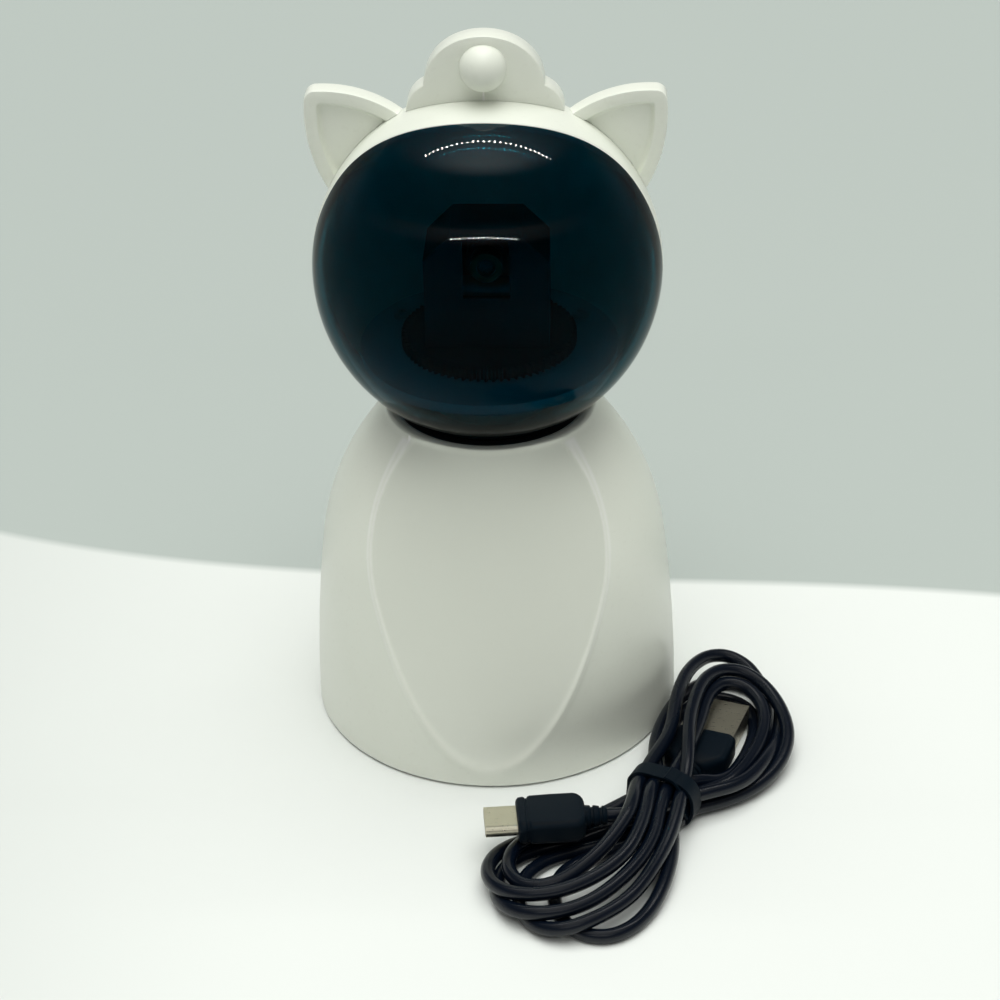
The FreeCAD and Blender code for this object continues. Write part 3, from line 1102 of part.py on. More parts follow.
def lying(item, spot, turn):
    item.Placement = FreeCAD.Placement(spot, FreeCAD.Rotation(Vector(0, 0, 1), turn))
    return item


def flat_loop(points, height):
    """Upright slab inside a smooth closed curve; a point is its way along the bundle and to its right."""
    curve = Part.BSplineCurve()
    curve.interpolate([Vector(along, -right, 0) for along, right in points], PeriodicFlag=True)
    return Part.Face(Part.Wire(curve.toShape())).extrude(Vector(0, 0, height))


def cord_tube(name, route):
    """Round tube along straight runs joined by tangent arcs, as large as the runs allow."""
    points = [Vector(*point) for point in route]
    radius = number("cable_radius")
    edges = []
    start = points[0]
    for before, corner, after in zip(points, points[1:], points[2:]):
        run_in, run_out = corner - before, after - corner
        turn = run_in.getAngle(run_out)
        shorter = min(run_in.Length, run_out.Length)
        bend = 0.45 * shorter / math.tan(turn / 2)
        enter = corner - run_in.normalize() * 0.45 * shorter
        leave = corner + run_out.normalize() * 0.45 * shorter
        inward = (run_out - run_in).normalize()
        middle = corner + inward * (bend / math.cos(turn / 2) - bend)
        edges.append(Part.LineSegment(start, enter).toShape())
        edges.append(Part.Arc(enter, middle, leave).toShape())
        start = leave
        print(name, "bend radius", round(bend, 1))
    edges.append(Part.LineSegment(start, points[-1]).toShape())
    path = Part.Wire(edges)
    circle = Part.Circle(points[0], (points[1] - points[0]).normalize(), radius)
    tube = path.makePipeShell([Part.Wire(circle.toShape())], True, True)
    expected = math.pi * radius ** 2 * path.Length
    print(name, "length", round(path.Length, 1), "volume share", round(tube.Volume / expected, 4))
    return feature(name + "_tube", tube)


plug_room = doc.addObject("Part::Box", "plug_room")
bind(plug_room, Length="large_plug_length + large_shell_length + large_relief_length + 1.5",
     Width="large_plug_width + 1.2", Height="large_plug_height + 0.7")
room_turn = FreeCAD.Rotation(Vector(0, 0, 1), LARGE_PLUG_TURN)
room_corner = Vector(-number("large_shell_length") - 0.5, -number("large_plug_width") / 2 - 0.6,
                     -LARGE_PLUG_SPOT.z)
plug_room.Placement = FreeCAD.Placement(LARGE_PLUG_SPOT + room_turn.multVec(room_corner), room_turn)
lower = flat_loop(LOWER_LOOP, LOWER_LOOP_HEIGHT).cut(flat_loop(LOWER_HOLE, LOWER_LOOP_HEIGHT))
upper = flat_loop(UPPER_LOOP, UPPER_LOOP_HEIGHT).cut(flat_loop(UPPER_HOLE, UPPER_LOOP_HEIGHT))
waist_width = number("bundle_width")
waist_floor = number("tie_thickness + fit_gap")
waist_place = number("bundle_place")
waist_length = number("waist_length")
waist = Part.makeBox(waist_length, waist_width, number("bundle_height"),
                     Vector(-waist_length / 2, waist_place - waist_width / 2, waist_floor))
tie_room_length = number("tie_width + 2 * tie_room")
tie_room = Part.makeBox(tie_room_length, 60, 30, Vector(-tie_room_length / 2, -30, 0))
hank_form = feature("hank_form", lower.fuse(upper).cut(tie_room).fuse(waist))
lying(hank_form, TIE_SPOT, BUNDLE_TURN)
subpart("cable_hank", cut("cable_hank_cut", hank_form, plug_room))
tie_outer = box("tie_outer", ("tie_width", "bundle_width + 2 * tie_thickness + 2 * fit_gap",
                              "bundle_height + 2 * tie_thickness + 2 * fit_gap"), ("0", "bundle_place",
                                                                                   "0"))
tie_inner = box("tie_inner", ("tie_width + 2", "bundle_width + 2 * fit_gap", "bundle_height + 2 * fit_gap"),
                ("0", "bundle_place", "tie_thickness"))
subpart("cable_tie", lying(cut("cable_tie_cut", tie_outer, tie_inner), TIE_SPOT, BUNDLE_TURN))
subpart("cable_lead", cord_tube("cable_lead", LEAD_ROUTE))
subpart("cable_tail", cord_tube("cable_tail", TAIL_ROUTE))


def plug_grip(name, width, height, length, shoulder):
    """Moulded grip along +X with sloped shoulders at the cable's end and soft edges."""
    body = new_body(name)
    side = f"({width}) / 2"
    steps = [
        ("line", f"{length} - {shoulder}", f"-{side}"),
        ("line", length, f"-{side} + {shoulder}"),
        ("line", length, f"{side} - {shoulder}"),
        ("line", f"{length} - {shoulder}", side),
        ("line", "0", side),
        ("line", "0", f"-{side}"),
    ]
    sketch = sketch_on(body, name + "_outline", "XY_Plane", ("0", f"-{side}"), steps, f"-({height}) / 2")
    block = pad(body, sketch, height)
    rounded(body, block, f"{height} * 0.16", lambda edge: True)
    return body


def relief(name, start, length, ribs, root_radius, end_radius):
    """Tapered strain relief along +X with a ring cut between each pair of ribs."""
    taper = cone(name + "_taper", root_radius, end_radius, length, (start, "0", "0"), "X")
    bore_rings = []
    for rib in range(ribs):
        place_at = f"{start} + ({length}) * {(rib + 0.6) / (ribs + 0.5):.4f}"
        ring = cut(f"{name}_ring_{rib}", cylinder(f"{name}_disc_{rib}", "6", "0.5", (place_at, "0", "0"),
                                                  "X"),
                   cylinder(f"{name}_core_{rib}", f"({end_radius}) - 0.1", "2",
                            (f"{place_at} - 0.5", "0", "0"), "X"))
        bore_rings.append(ring)
    return cut(name + "_solid", taper, *bore_rings)


small_grip = plug_grip("small_grip", "plug_width", "plug_height", "plug_length", "2.4")
subpart("usb_c_overmould", lying(small_grip, SMALL_PLUG_SPOT, SMALL_PLUG_TURN))
small_relief = relief("small_relief", "plug_length", "relief_length", 3, "cable_radius + 0.9",
                      "cable_radius + 0.35")
subpart("usb_c_relief", lying(small_relief, SMALL_PLUG_SPOT, SMALL_PLUG_TURN))
small_bar = slot_along_y("small_bar", "plug_shell_width", "plug_shell_height", "plug_shell_length", "0",
                         "0")
small_room = slot_along_y("small_room", "plug_shell_width - 0.7", "plug_shell_height - 0.7",
                          "plug_shell_length", "0", "1.2")
subpart("usb_c_shell", lying(cut("small_shell", small_bar, small_room), SMALL_PLUG_SPOT,
                             SMALL_PLUG_TURN + 90))
large_grip = plug_grip("large_grip", "large_plug_width", "large_plug_height", "large_plug_length", "3.4")
subpart("usb_a_overmould", lying(large_grip, LARGE_PLUG_SPOT, LARGE_PLUG_TURN))
large_relief = relief("large_relief", "large_plug_length", "large_relief_length", 4, "cable_radius + 1.3",
                      "cable_radius + 0.4")
subpart("usb_a_relief", lying(large_relief, LARGE_PLUG_SPOT, LARGE_PLUG_TURN))
large_case = box("large_case", ("large_shell_length", "large_shell_width", "large_shell_height"),
                 ("-large_shell_length / 2", "0", "-large_shell_height / 2"))
large_room = box("large_room", ("large_shell_length", "large_shell_width - 0.7",
                                "large_shell_height - 0.7"),
                 ("-large_shell_length / 2 - 1.2", "0", "-large_shell_height / 2 + 0.35"))
subpart("usb_a_shell", lying(cut("large_shell", large_case, large_room), LARGE_PLUG_SPOT, LARGE_PLUG_TURN))
large_block = box("large_block", ("large_shell_length - 2", "large_shell_width - 0.9", "1.9"),
                  ("-large_shell_length / 2 - 0.3", "0", "large_shell_height / 2 - 0.4 - 1.9"))
subpart("usb_a_insert", lying(group("large_insert", large_block), LARGE_PLUG_SPOT, LARGE_PLUG_TURN))

# ---------------------------------------------------------------- check and write
doc.recompute()
for item in doc.Objects:
    assert "Invalid" not in item.State and "Error" not in item.State, f"{item.Name} is {item.State}"
os.makedirs("parts", exist_ok=True)
for node, item in SUBPARTS.items():
    shape = item.Shape
    assert not shape.isNull() and shape.isValid(), f"{node} has no valid shape"
    assert len(shape.Solids) > 0, f"{node} has no solid"
    shape.exportStep(f"parts/{node}.step")
print(len(SUBPARTS), "sub-parts written")
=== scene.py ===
# %% [markdown]
# # A cat's laser toy
# The toy is a white plastic base with a ball head in a cup. The head has a smoked dome, two ears and
# a small crown, and a motor turret with a laser sits inside it. A charging cable lies beside the toy.
# The engineering model comes first and stays where it is. It is the frame that every dressed piece
# is fitted to, so the sizes below are the frame's own, in millimetres. Materials work in metres.

# %% Load the frame
import json
import math

import bmesh
import bpy
import numpy as np
from mathutils import Matrix, Vector


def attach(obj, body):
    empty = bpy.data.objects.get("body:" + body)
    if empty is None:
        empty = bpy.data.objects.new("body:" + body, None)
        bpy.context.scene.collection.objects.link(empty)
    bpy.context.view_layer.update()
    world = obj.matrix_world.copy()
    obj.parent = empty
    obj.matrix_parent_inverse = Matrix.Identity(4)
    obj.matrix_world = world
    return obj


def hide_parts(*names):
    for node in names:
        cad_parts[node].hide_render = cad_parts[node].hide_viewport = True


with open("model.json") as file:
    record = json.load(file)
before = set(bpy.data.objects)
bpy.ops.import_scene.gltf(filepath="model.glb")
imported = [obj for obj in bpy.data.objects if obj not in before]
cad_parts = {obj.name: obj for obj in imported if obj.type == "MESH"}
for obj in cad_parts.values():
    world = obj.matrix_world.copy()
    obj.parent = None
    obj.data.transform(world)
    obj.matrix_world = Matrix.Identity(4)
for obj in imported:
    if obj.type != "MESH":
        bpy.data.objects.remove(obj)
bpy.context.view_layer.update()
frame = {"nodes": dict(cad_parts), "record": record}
MM = 0.001
scene = bpy.context.scene

# %% [markdown]
# ## Camera
# The toy is seen from the front and from above, from about half a metre away, through a long lens.
# A long lens keeps the ball of the head round, where a wide one would stretch it. The view is set from
# a place and a target, and then turned by a degree about its own line of sight, as a hand-held camera is.

# %% Place the camera
eye = Vector((24.2, -481.5, 343.3)) * MM
aim = Vector((1.49, 0.07, 47.81)) * MM
forward = (aim - eye).normalized()
level_right = forward.cross(Vector((0, 0, 1))).normalized()
level_up = level_right.cross(forward)
lean = math.radians(1.271)
right = math.cos(lean) * level_right - math.sin(lean) * level_up
up = math.sin(lean) * level_right + math.cos(lean) * level_up
camera = bpy.data.objects.new("camera", bpy.data.cameras.new("camera"))
scene.collection.objects.link(camera)
camera.matrix_world = Matrix.Translation(eye) @ Matrix((right, up, -forward)).transposed().to_4x4()
camera.data.lens = 93.6
camera.data.sensor_width = 36.0
camera.data.clip_start = 0.01
scene.camera = camera
scene.view_settings.view_transform = "Standard"
print("camera:", round((aim - eye).length, 3), "m from the toy")

# %% [markdown]
# ## The charging cable
# The cable is a metre of soft 3 mm cord, folded into five figure-of-eight turns and tied at the
# waist. A cloth or rope simulation could drop it on the table, but would lose the shape of the loops.
# Here each turn is a list of places along the bundle, to its right and above the table. Loose turns
# differ in size and fan out. A cord can't pass through itself, so the turns are then pushed apart
# until no two stretches are nearer than one diameter. Only the push is smoothed, not the turns
# themselves, which keeps the size of the loops.

# %% Turns of the cable
CORD = 3.0
SAMPLE_STEP = 2.5
SMALL_RELIEF_END, LARGE_RELIEF_END = 18.5, 19.0
TIE_SPOT = np.array([36.5, -49.0, 0.0])
ALONG = np.array([0.44, 0.898, 0.0])
ASIDE = np.array([0.898, -0.44, 0.0])
SMALL_PLUG = (Vector((6.4, -61.9, 8.8)), 6.0)
LARGE_PLUG = (Vector((46.43, -26.7, 3.4)), -109.3)
LOWER_TURNS = [
    [(-14.6, 8.6, 3), (-24, 10.7, 2.5), (-31.5, 10.8, 1.5), (-38.2, 9.2, 1.5), (-42.3, 5.5, 1.5),
     (-43, 0, 1.5), (-40, -5, 1.5), (-34.3, -9.1, 1.5), (-27.2, -10.8, 1.5), (-20, -8.5, 1.5),
     (-12, -2.4, 2)],
    [(-5.8, 4.2, 6.5), (-16.4, 6.3, 4.5), (-28.9, 7, 3), (-37.1, 4.6, 2), (-43.1, 0.6, 1.5),
     (-45, -4.6, 1.5), (-42.7, -10.6, 1.5), (-37.2, -15, 1.5), (-30, -16.4, 1.5), (-22.5, -13.6, 1.5),
     (-11.8, -4, 2.5)],
    [(-4.9, 2, 7.5), (-14.9, 5, 6), (-24.3, 5.3, 5), (-34.7, 3, 4), (-41, -1.3, 3), (-44.6, -7.2, 2.5),
     (-43.8, -13.2, 2), (-39.6, -18, 1.5), (-33.4, -20.1, 1.5), (-26, -18.6, 1.5), (-18.5, -11.5, 2),
     (-11.3, -5.3, 4)],
    [(-4.2, -0.9, 9), (-11.8, 1.4, 8.5), (-21.6, 2.9, 7), (-30, 0.9, 6), (-37.4, -3.8, 5), (-41.5, -10, 4),
     (-41.7, -16.2, 3), (-37.6, -21, 2.5), (-31.6, -22.4, 2.5), (-25, -20, 2.5), (-17.9, -13.5, 3),
     (-10.3, -6.6, 4)],
    [(-4.9, -3.6, 9), (-11.7, -1.7, 9), (-20.6, -1.6, 7.5), (-28.4, -2.9, 6.5), (-35, -5.5, 5.5),
     (-38.9, -10, 4.5), (-37.6, -15.6, 4.2), (-32.4, -19.4, 4), (-25.6, -19.6, 4), (-18.8, -14.4, 4.5),
     (-10.5, -7, 5.5)],
]
UPPER_TURNS = [
    [(5.5, 8.4, 2.5), (12.6, 13, 2.5), (21.5, 15.3, 3), (30.9, 13.9, 4), (38.2, 9.6, 5), (43.2, 3.3, 6.5),
     (43.4, -3.2, 8), (36.5, -6.6, 9), (23, -5, 9.5), (10.8, -1.4, 9.3)],
    [(5, 4.6, 3), (11, 8.7, 3), (19, 10.6, 3), (29.4, 10.2, 3), (36.9, 7.4, 4.5), (40.9, 2.4, 6.5),
     (40.4, -3.2, 8), (33.9, -5, 8.6), (22.8, -2, 8.6), (11.5, 0.4, 8.6)],
    [(5, 8.6, 5.5), (12.8, 12.6, 4.5), (25.1, 13, 4), (37.6, 9.6, 2), (46, 3.6, 1.5), (49.2, -3.3, 1.5),
     (46.2, -9.4, 2), (37, -11.4, 3), (24.1, -9.6, 4.5), (11, -5, 6)],
    [(5, 6, 2), (9.4, 10, 2.5), (16.6, 12.2, 2.5), (26.4, 11.9, 2.5), (36.9, 9.2, 3), (46.6, 3.8, 3),
     (51.8, -3, 4.5), (50.8, -9.6, 6), (41.6, -12, 7.5), (29, -9.6, 8.4), (15, -5, 8.6)],
    [(5.5, 3.4, 5.5), (10, 6.4, 4), (16.1, 8.2, 2), (26.9, 8.4, 1.5), (36, 6.8, 1.5), (42.4, 1.6, 1.5),
     (42.6, -6, 1.5), (35.8, -10, 1.5), (23.1, -9.6, 1.8), (11.4, -5.4, 3)],
]
FROM_LARGE_PLUG = [(5.53, 1.37, 3.4), (2.0, 1.6, 3.2), (-2.2, 2.6, 3.0), (-7.5, 5.4, 3.0)]
TO_SMALL_PLUG = [(-5.7, 0.6, 6.4), (-9.2, -0.7, 7.6), (-12.9, -2.3, 8.6)]


def plug_point(plug, ahead):
    """Place on a plug's line, some way towards its cable."""
    spot, turn = plug
    angle = math.radians(turn)
    return np.array(spot) + ahead * np.array([math.cos(angle), math.sin(angle), 0.0])


def cable_places():
    """All the places of the cable in order, from the small plug to the large one."""
    places = list(FROM_LARGE_PLUG)
    for lower, upper in zip(LOWER_TURNS, UPPER_TURNS):
        places += lower + upper
    places = np.array(places + TO_SMALL_PLUG, float)[::-1]
    points = TIE_SPOT + places[:, :1] * ALONG + places[:, 1:2] * ASIDE + places[:, 2:] * [0, 0, 1]
    start = [plug_point(SMALL_PLUG, ahead) for ahead in (SMALL_RELIEF_END, 20.5, 22.7)]
    return np.vstack([start, points[:-1], [plug_point(LARGE_PLUG, LARGE_RELIEF_END)]])


def smooth_samples(points, spacing):
    """Evenly spaced places on a smooth curve through all the points."""
    ends = np.vstack([2 * points[0] - points[1], points, 2 * points[-1] - points[-2]])
    fine = []
    for before, here, after, beyond in zip(ends, ends[1:], ends[2:], ends[3:]):
        for t in np.linspace(0, 1, 8, endpoint=False):
            squared = (2 * before - 5 * here + 4 * after - beyond) * t ** 2
            cubed = (3 * here - before - 3 * after + beyond) * t ** 3
            fine.append(0.5 * (2 * here + (after - before) * t + squared + cubed))
    fine = np.array(fine + [points[-1]])
    way = np.r_[0, np.cumsum(np.linalg.norm(np.diff(fine, axis=0), axis=1))]
    steps = np.linspace(0, way[-1], int(round(way[-1] / spacing)) + 1)
    return np.stack([np.interp(steps, way, fine[:, axis]) for axis in range(3)], axis=1)


cable_target = smooth_samples(cable_places(), SAMPLE_STEP)
print("cable places:", len(cable_target), "length:", round(SAMPLE_STEP * (len(cable_target) - 1)), "mm")

# %% Keep the cable's turns clear of each other and of what is near
NEAREST, PUSH, NEIGHBOURS, END_EASE = CORD * 1.04, 0.35, 3, 5
TIE_HALF, TIE_SIDES, TIE_HEIGHTS = 2.6, (-4.4, 5.2), (2.4, 9.0)
BASE_CLEAR, ROUNDS, GENTLE_ROUNDS = 42.3, 320, 40
PLUG_BLOCKS = [(SMALL_PLUG, (0, -5.4, -2.8), (14, 5.4, 2.8)), (LARGE_PLUG, (-12, -6, -2.3), (0, 6, 2.3)),
               (LARGE_PLUG, (0, -6.8, -3.2), (12, 6.8, 3.2))]


def clear_of_block(points, plug, low, high):
    """Push points out of a plug's block, sideways or up but never into the table."""
    spot, turn = plug
    angle = math.radians(turn)
    turn_in = np.array([[math.cos(angle), math.sin(angle), 0], [-math.sin(angle), math.cos(angle), 0],
                        [0, 0, 1]])
    local = (points - np.array(spot)) @ turn_in.T
    low, high = np.array(low) - CORD / 2 - 0.1, np.array(high) + CORD / 2 + 0.1
    inside = np.all((local > low) & (local < high), axis=1)
    for index in np.flatnonzero(inside):
        exits = np.concatenate([local[index] - low, high - local[index]])
        if spot.z < 5:
            exits[2] += 100
        side = int(exits.argmin())
        local[index, side % 3] = (low if side < 3 else high)[side % 3]
    return np.where(inside[:, None], local @ turn_in + np.array(spot), points)


def settle(target):
    """Move the cable's places until nothing overlaps, smoothing only the moves."""
    count = len(target)
    index = np.arange(count)
    apart = np.abs(index[:, None] - index[None, :]) > NEIGHBOURS
    free = np.minimum(1, np.minimum(index, count - 1 - index) / END_EASE)[:, None]
    move = np.zeros_like(target)
    for turn in range(ROUNDS):
        points = target + move
        between = points[:, None, :] - points[None, :, :]
        gap = np.linalg.norm(between, axis=2)
        push = np.where((gap < NEAREST) & apart, (NEAREST - gap) / np.maximum(gap, 0.001) * PUSH, 0)
        points = points + (push[:, :, None] * between).sum(1)
        from_tie = points - TIE_SPOT
        aside = from_tie @ ASIDE
        tied = np.abs(from_tie @ ALONG) < TIE_HALF
        points[tied] += ((np.clip(aside, *TIE_SIDES) - aside)[:, None] * ASIDE)[tied]
        points[tied, 2] = np.clip(points[tied, 2], *TIE_HEIGHTS)
        reach = np.linalg.norm(points[:, :2], axis=1)
        points[:, :2] *= np.maximum(1, BASE_CLEAR / reach)[:, None]
        for block in PLUG_BLOCKS:
            points = clear_of_block(points, *block)
        points[:, 2] = np.maximum(points[:, 2], CORD / 2)
        move = (points - target) * free
        ease = 0.5 if turn < ROUNDS - GENTLE_ROUNDS else 0.25
        move[1:-1] += ease * ((move[:-2] + move[2:]) / 2 - move[1:-1])
    settled = target + move
    settled[:, 2] = np.maximum(settled[:, 2], CORD / 2)
    return settled


cable_line = settle(cable_target)
print("cable settled at heights", round(cable_line[:, 2].min(), 1), "to", round(cable_line[:, 2].max(), 1))

# %% [markdown]
# The tube's radius is kept on the points, and the bevel is one metre deep, so that the two multiply to the
# cable's radius. The other way round gives the same tube, but Blender adds the points' own radius, a metre
# by default, to the curve's box.

# %% Draw the cable as one spline
cable_curve = bpy.data.curves.new("charging_cable", "CURVE")
cable_curve.dimensions = "3D"
cable_curve.bevel_depth = 1.0
cable_curve.bevel_resolution = 6
cable_curve.resolution_u = 6
cable_points = np.vstack([cable_line[:-1:2], cable_line[-1:]])
spline = cable_curve.splines.new("NURBS")
spline.points.add(len(cable_points) - 1)
for point, place in zip(spline.points, cable_points):
    point.co = (*(place * MM), 1)
    point.radius = CORD / 2 * MM
spline.order_u = 3
spline.use_endpoint_u = True
cable = bpy.data.objects.new("charging_cable", cable_curve)
scene.collection.objects.link(cable)
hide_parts("cable_hank", "cable_lead", "cable_tail")
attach(cable, "base")
cable_length = float(np.linalg.norm(np.diff(cable_line, axis=0), axis=1).sum()) * MM
print("cable of", len(cable_points), "points,", round(cable_length, 3), "m long")

# %% [markdown]
# ## Shared surface effects
# Moulded plastic is never one even colour. It carries a very fine spark texture, soft smudges and
# hairline scratches from handling, and dust that gathers low down. Its edges are painted lighter, as a
# painted highlight where they catch the light and as a little wear. Painted images could hold that for
# one piece. A node group holds it for all of them: it is built once, and every finish sets its own
# strength. The groups give only masks and heights. The shader stays in the material, where what each
# number does can be seen.


# %% Helpers for nodes
def new_group(name, inputs, outputs):
    """Start a shader group of number sockets, and give it with what goes in and what comes out."""
    group = bpy.data.node_groups.new(name, "ShaderNodeTree")
    for label, value in inputs.items():
        socket = group.interface.new_socket(name=label, in_out="INPUT", socket_type="NodeSocketFloat")
        socket.default_value = value
    for label in outputs:
        group.interface.new_socket(name=label, in_out="OUTPUT", socket_type="NodeSocketFloat")
    return group, group.nodes.new("NodeGroupInput").outputs, group.nodes.new("NodeGroupOutput").inputs


def add(tree, kind, inputs=None, **settings):
    """Add a node, set its fields and its inputs, and link any input that is a socket."""
    node = tree.nodes.new(kind)
    for field, value in settings.items():
        setattr(node, field, value)
    for key, value in (inputs or {}).items():
        if isinstance(value, bpy.types.NodeSocket):
            tree.links.new(value, node.inputs[key])
        else:
            node.inputs[key].default_value = value
    return node


def math_node(tree, operation, first, second=0.0, third=0.0, clamp=False):
    """One arithmetic step on sockets or numbers."""
    return add(tree, "ShaderNodeMath", {0: first, 1: second, 2: third}, operation=operation,
               use_clamp=clamp).outputs[0]


def ramp(tree, value, start, end, low=0.0, high=1.0, ease="LINEAR"):
    """Stretch one range of values onto another, held at both ends."""
    return add(tree, "ShaderNodeMapRange", {0: value, 1: start, 2: end, 3: low, 4: high},
               interpolation_type=ease).outputs[0]


def mixed(tree, share, first, second):
    """A mix of two colours, each one a socket or its red, green and blue."""
    ends = [end if isinstance(end, bpy.types.NodeSocket) else (*end, 1) for end in (first, second)]
    return add(tree, "ShaderNodeMix", {0: share, 6: ends[0], 7: ends[1]}, data_type="RGBA").outputs[2]


def noise(tree, scale, detail=2.0, **inputs):
    """Soft noise, on the piece's own coordinates unless it gets others."""
    return add(tree, "ShaderNodeTexNoise", {"Scale": scale, "Detail": detail, **inputs}).outputs["Fac"]


def object_place(tree):
    """The piece's own coordinates."""
    return add(tree, "ShaderNodeTexCoord").outputs["Object"]


print("node helpers ready")

# %% The three groups
grain, grain_in, grain_out = new_group("moulded grain", {"Size": 1400.0, "Depth": 0.5}, ["Height"])
place = object_place(grain)
fine = noise(grain, grain_in["Size"], 3.0, Vector=place)
pits = add(grain, "ShaderNodeTexVoronoi", {"Vector": place, "Scale": grain_in["Size"]}).outputs["Distance"]
rough_height = math_node(grain, "ADD", fine, math_node(grain, "MULTIPLY", pits, 0.4))
grain.links.new(math_node(grain, "MULTIPLY", rough_height, grain_in["Depth"]), grain_out["Height"])

smudge, smudge_in, smudge_out = new_group(
    "handling smudges", {"Size": 40.0, "Amount": 0.3}, ["Mask", "Scratches"])
place = object_place(smudge)
cloud = noise(smudge, smudge_in["Size"], 5.0, Vector=place, Distortion=0.6)
patch = ramp(smudge, cloud, 0.42, 0.72)
smudge.links.new(math_node(smudge, "MULTIPLY", patch, smudge_in["Amount"]), smudge_out["Mask"])
drawn_out = add(smudge, "ShaderNodeMapping",
                {"Vector": place, "Rotation": (0.4, 0.7, 0.3), "Scale": (1, 18, 18)})
scratch = ramp(smudge, noise(smudge, 90.0, 2.0, Vector=drawn_out.outputs[0]), 0.68, 0.74)
smudge.links.new(math_node(smudge, "MULTIPLY", scratch, smudge_in["Amount"]), smudge_out["Scratches"])

# The edge mask lightens convex edges: a painted highlight where they catch the light, and wear as well.
dust, dust_in, dust_out = new_group("dust, edge wear and painted edge highlight", {"Dust": 0.3, "Edge": 0.2}, ["Dust", "Edge"])
shape = add(dust, "ShaderNodeNewGeometry").outputs
low_down = ramp(dust, add(dust, "ShaderNodeSeparateXYZ", {0: shape["Position"]}).outputs["Z"], 0.03, 0.0)
specks = ramp(dust, noise(dust, 900.0, 2.0, Vector=shape["Position"]), 0.6, 0.75)
settled_dust = math_node(dust, "ADD", specks, low_down)
dust.links.new(math_node(dust, "MULTIPLY", settled_dust, dust_in["Dust"], clamp=True), dust_out["Dust"])
edge_wear_and_highlight = ramp(dust, shape["Pointiness"], 0.53, 0.62)
dust.links.new(math_node(dust, "MULTIPLY", edge_wear_and_highlight, dust_in["Edge"]), dust_out["Edge"])
print("groups:", [group.name for group in (grain, smudge, dust)])

# %% [markdown]
# ## Plastic and rubber
# One maker of finishes serves most of the toy. It mixes a base colour with a smudged colour and a
# dust colour, lightens the edges, varies the roughness with the same masks, and gives a fine bump.
# White shells, black turret parts, rubber and gears differ only in numbers. A finish drawn by hand for
# each of them would say the same thing ten times. Glass, bare metal and the circuit board have their
# own makers further down, because light does something else on them.


# %% Start a material, and give it a bump
def start_material(name):
    """A new material, its node tree and the inputs of its shader."""
    material = bpy.data.materials.new(name)
    material.use_nodes = True
    return material, material.node_tree, material.node_tree.nodes["Principled BSDF"].inputs


def give_bump(tree, shader, height, strength, distance):
    """Let a height bend the shader's normal."""
    bump = add(tree, "ShaderNodeBump", {"Height": height, "Strength": strength, "Distance": distance})
    tree.links.new(bump.outputs[0], shader["Normal"])


# %% Moulded plastic and rubber
def moulded(name, colour, smudged, dusty, rough, spread=0.12, size=1400.0, depth=0.12, dust_amount=0.15,
            edge=0.0, amount=0.3, specular=0.5, coat=0.0):
    """A plastic or rubber finish with grain, smudges, dust, and edges painted lighter as wear and as a
    painted highlight.
    """
    material, tree, shader = start_material(name)
    for label, value in {"Specular IOR Level": specular, "Coat Weight": coat, "Coat Roughness": 0.12}.items():
        shader[label].default_value = value
    texture = add(tree, "ShaderNodeGroup", {"Size": size, "Depth": depth}, node_tree=grain).outputs
    marks = add(tree, "ShaderNodeGroup", {"Amount": amount}, node_tree=smudge).outputs
    wear_and_highlight = add(tree, "ShaderNodeGroup", {"Dust": dust_amount, "Edge": edge}, node_tree=dust).outputs
    # Edges are mixed towards a lighter colour, as wear and as a painted highlight.
    lighter = tuple(min(1.0, value * 1.25 + 0.02) for value in colour)
    dusted = mixed(tree, wear_and_highlight["Dust"], mixed(tree, marks["Mask"], colour, smudged), dusty)
    tree.links.new(mixed(tree, wear_and_highlight["Edge"], dusted, lighter), shader["Base Color"])
    gloss = math_node(tree, "MULTIPLY_ADD", marks["Mask"], spread, rough)
    duller = math_node(tree, "ADD", gloss, math_node(tree, "MULTIPLY", wear_and_highlight["Dust"], 0.3), clamp=True)
    tree.links.new(duller, shader["Roughness"])
    scored = math_node(tree, "MULTIPLY", marks["Scratches"], 0.2)
    give_bump(tree, shader, math_node(tree, "SUBTRACT", texture["Height"], scored), 0.25, 0.00006)
    return material


def white_shell(name):
    """The satin white of all the outer shells."""
    # Edge 1.0 paints the white shells' edges nearly white, a painted highlight.
    return moulded(name, (0.82, 0.845, 0.76), (0.77, 0.795, 0.705), (0.62, 0.62, 0.54), 0.34,
                   dust_amount=0.10, edge=1.0, coat=0.15)


finishes = {
    "white_abs": white_shell("satin white shell"),
    "black_plastic": moulded("black turret plastic", (0.012, 0.014, 0.015), (0.02, 0.021, 0.022),
                             (0.10, 0.10, 0.09), 0.42, depth=0.3, dust_amount=0.08, edge=0.3),
    "grey_plastic": moulded("grey cradle plastic", (0.42, 0.44, 0.44), (0.36, 0.38, 0.38),
                            (0.5, 0.49, 0.46), 0.5, depth=0.3, edge=0.2),
    "pom": moulded("cream gear plastic", (0.75, 0.73, 0.66), (0.66, 0.63, 0.55),
                   (0.5, 0.49, 0.45), 0.3, depth=0.05, dust_amount=0.05, edge=0.15),
    "rubber": moulded("dark soft rubber", (0.015, 0.016, 0.016), (0.028, 0.028, 0.027),
                      (0.12, 0.115, 0.10), 0.68, depth=0.5, dust_amount=0.25, specular=0.35),
    "cable_black": moulded("cable jacket", (0.001, 0.003, 0.008), (0.002, 0.005, 0.011),
                           (0.03, 0.03, 0.032), 0.22, size=2200.0, dust_amount=0.01, amount=0.5,
                           specular=0.35),
    "cell_wrap": moulded("blue battery wrap", (0.03, 0.11, 0.32), (0.045, 0.13, 0.34),
                         (0.25, 0.27, 0.3), 0.25, size=500.0, depth=0.08, dust_amount=0.06, coat=0.3),
}
plug_finish = moulded("plug grip", (0.001, 0.005, 0.010), (0.002, 0.007, 0.012), (0.03, 0.03, 0.03), 0.42,
                      size=1800.0, depth=0.25, dust_amount=0.01, specular=0.12)
print("moulded finishes:", sorted(finishes))
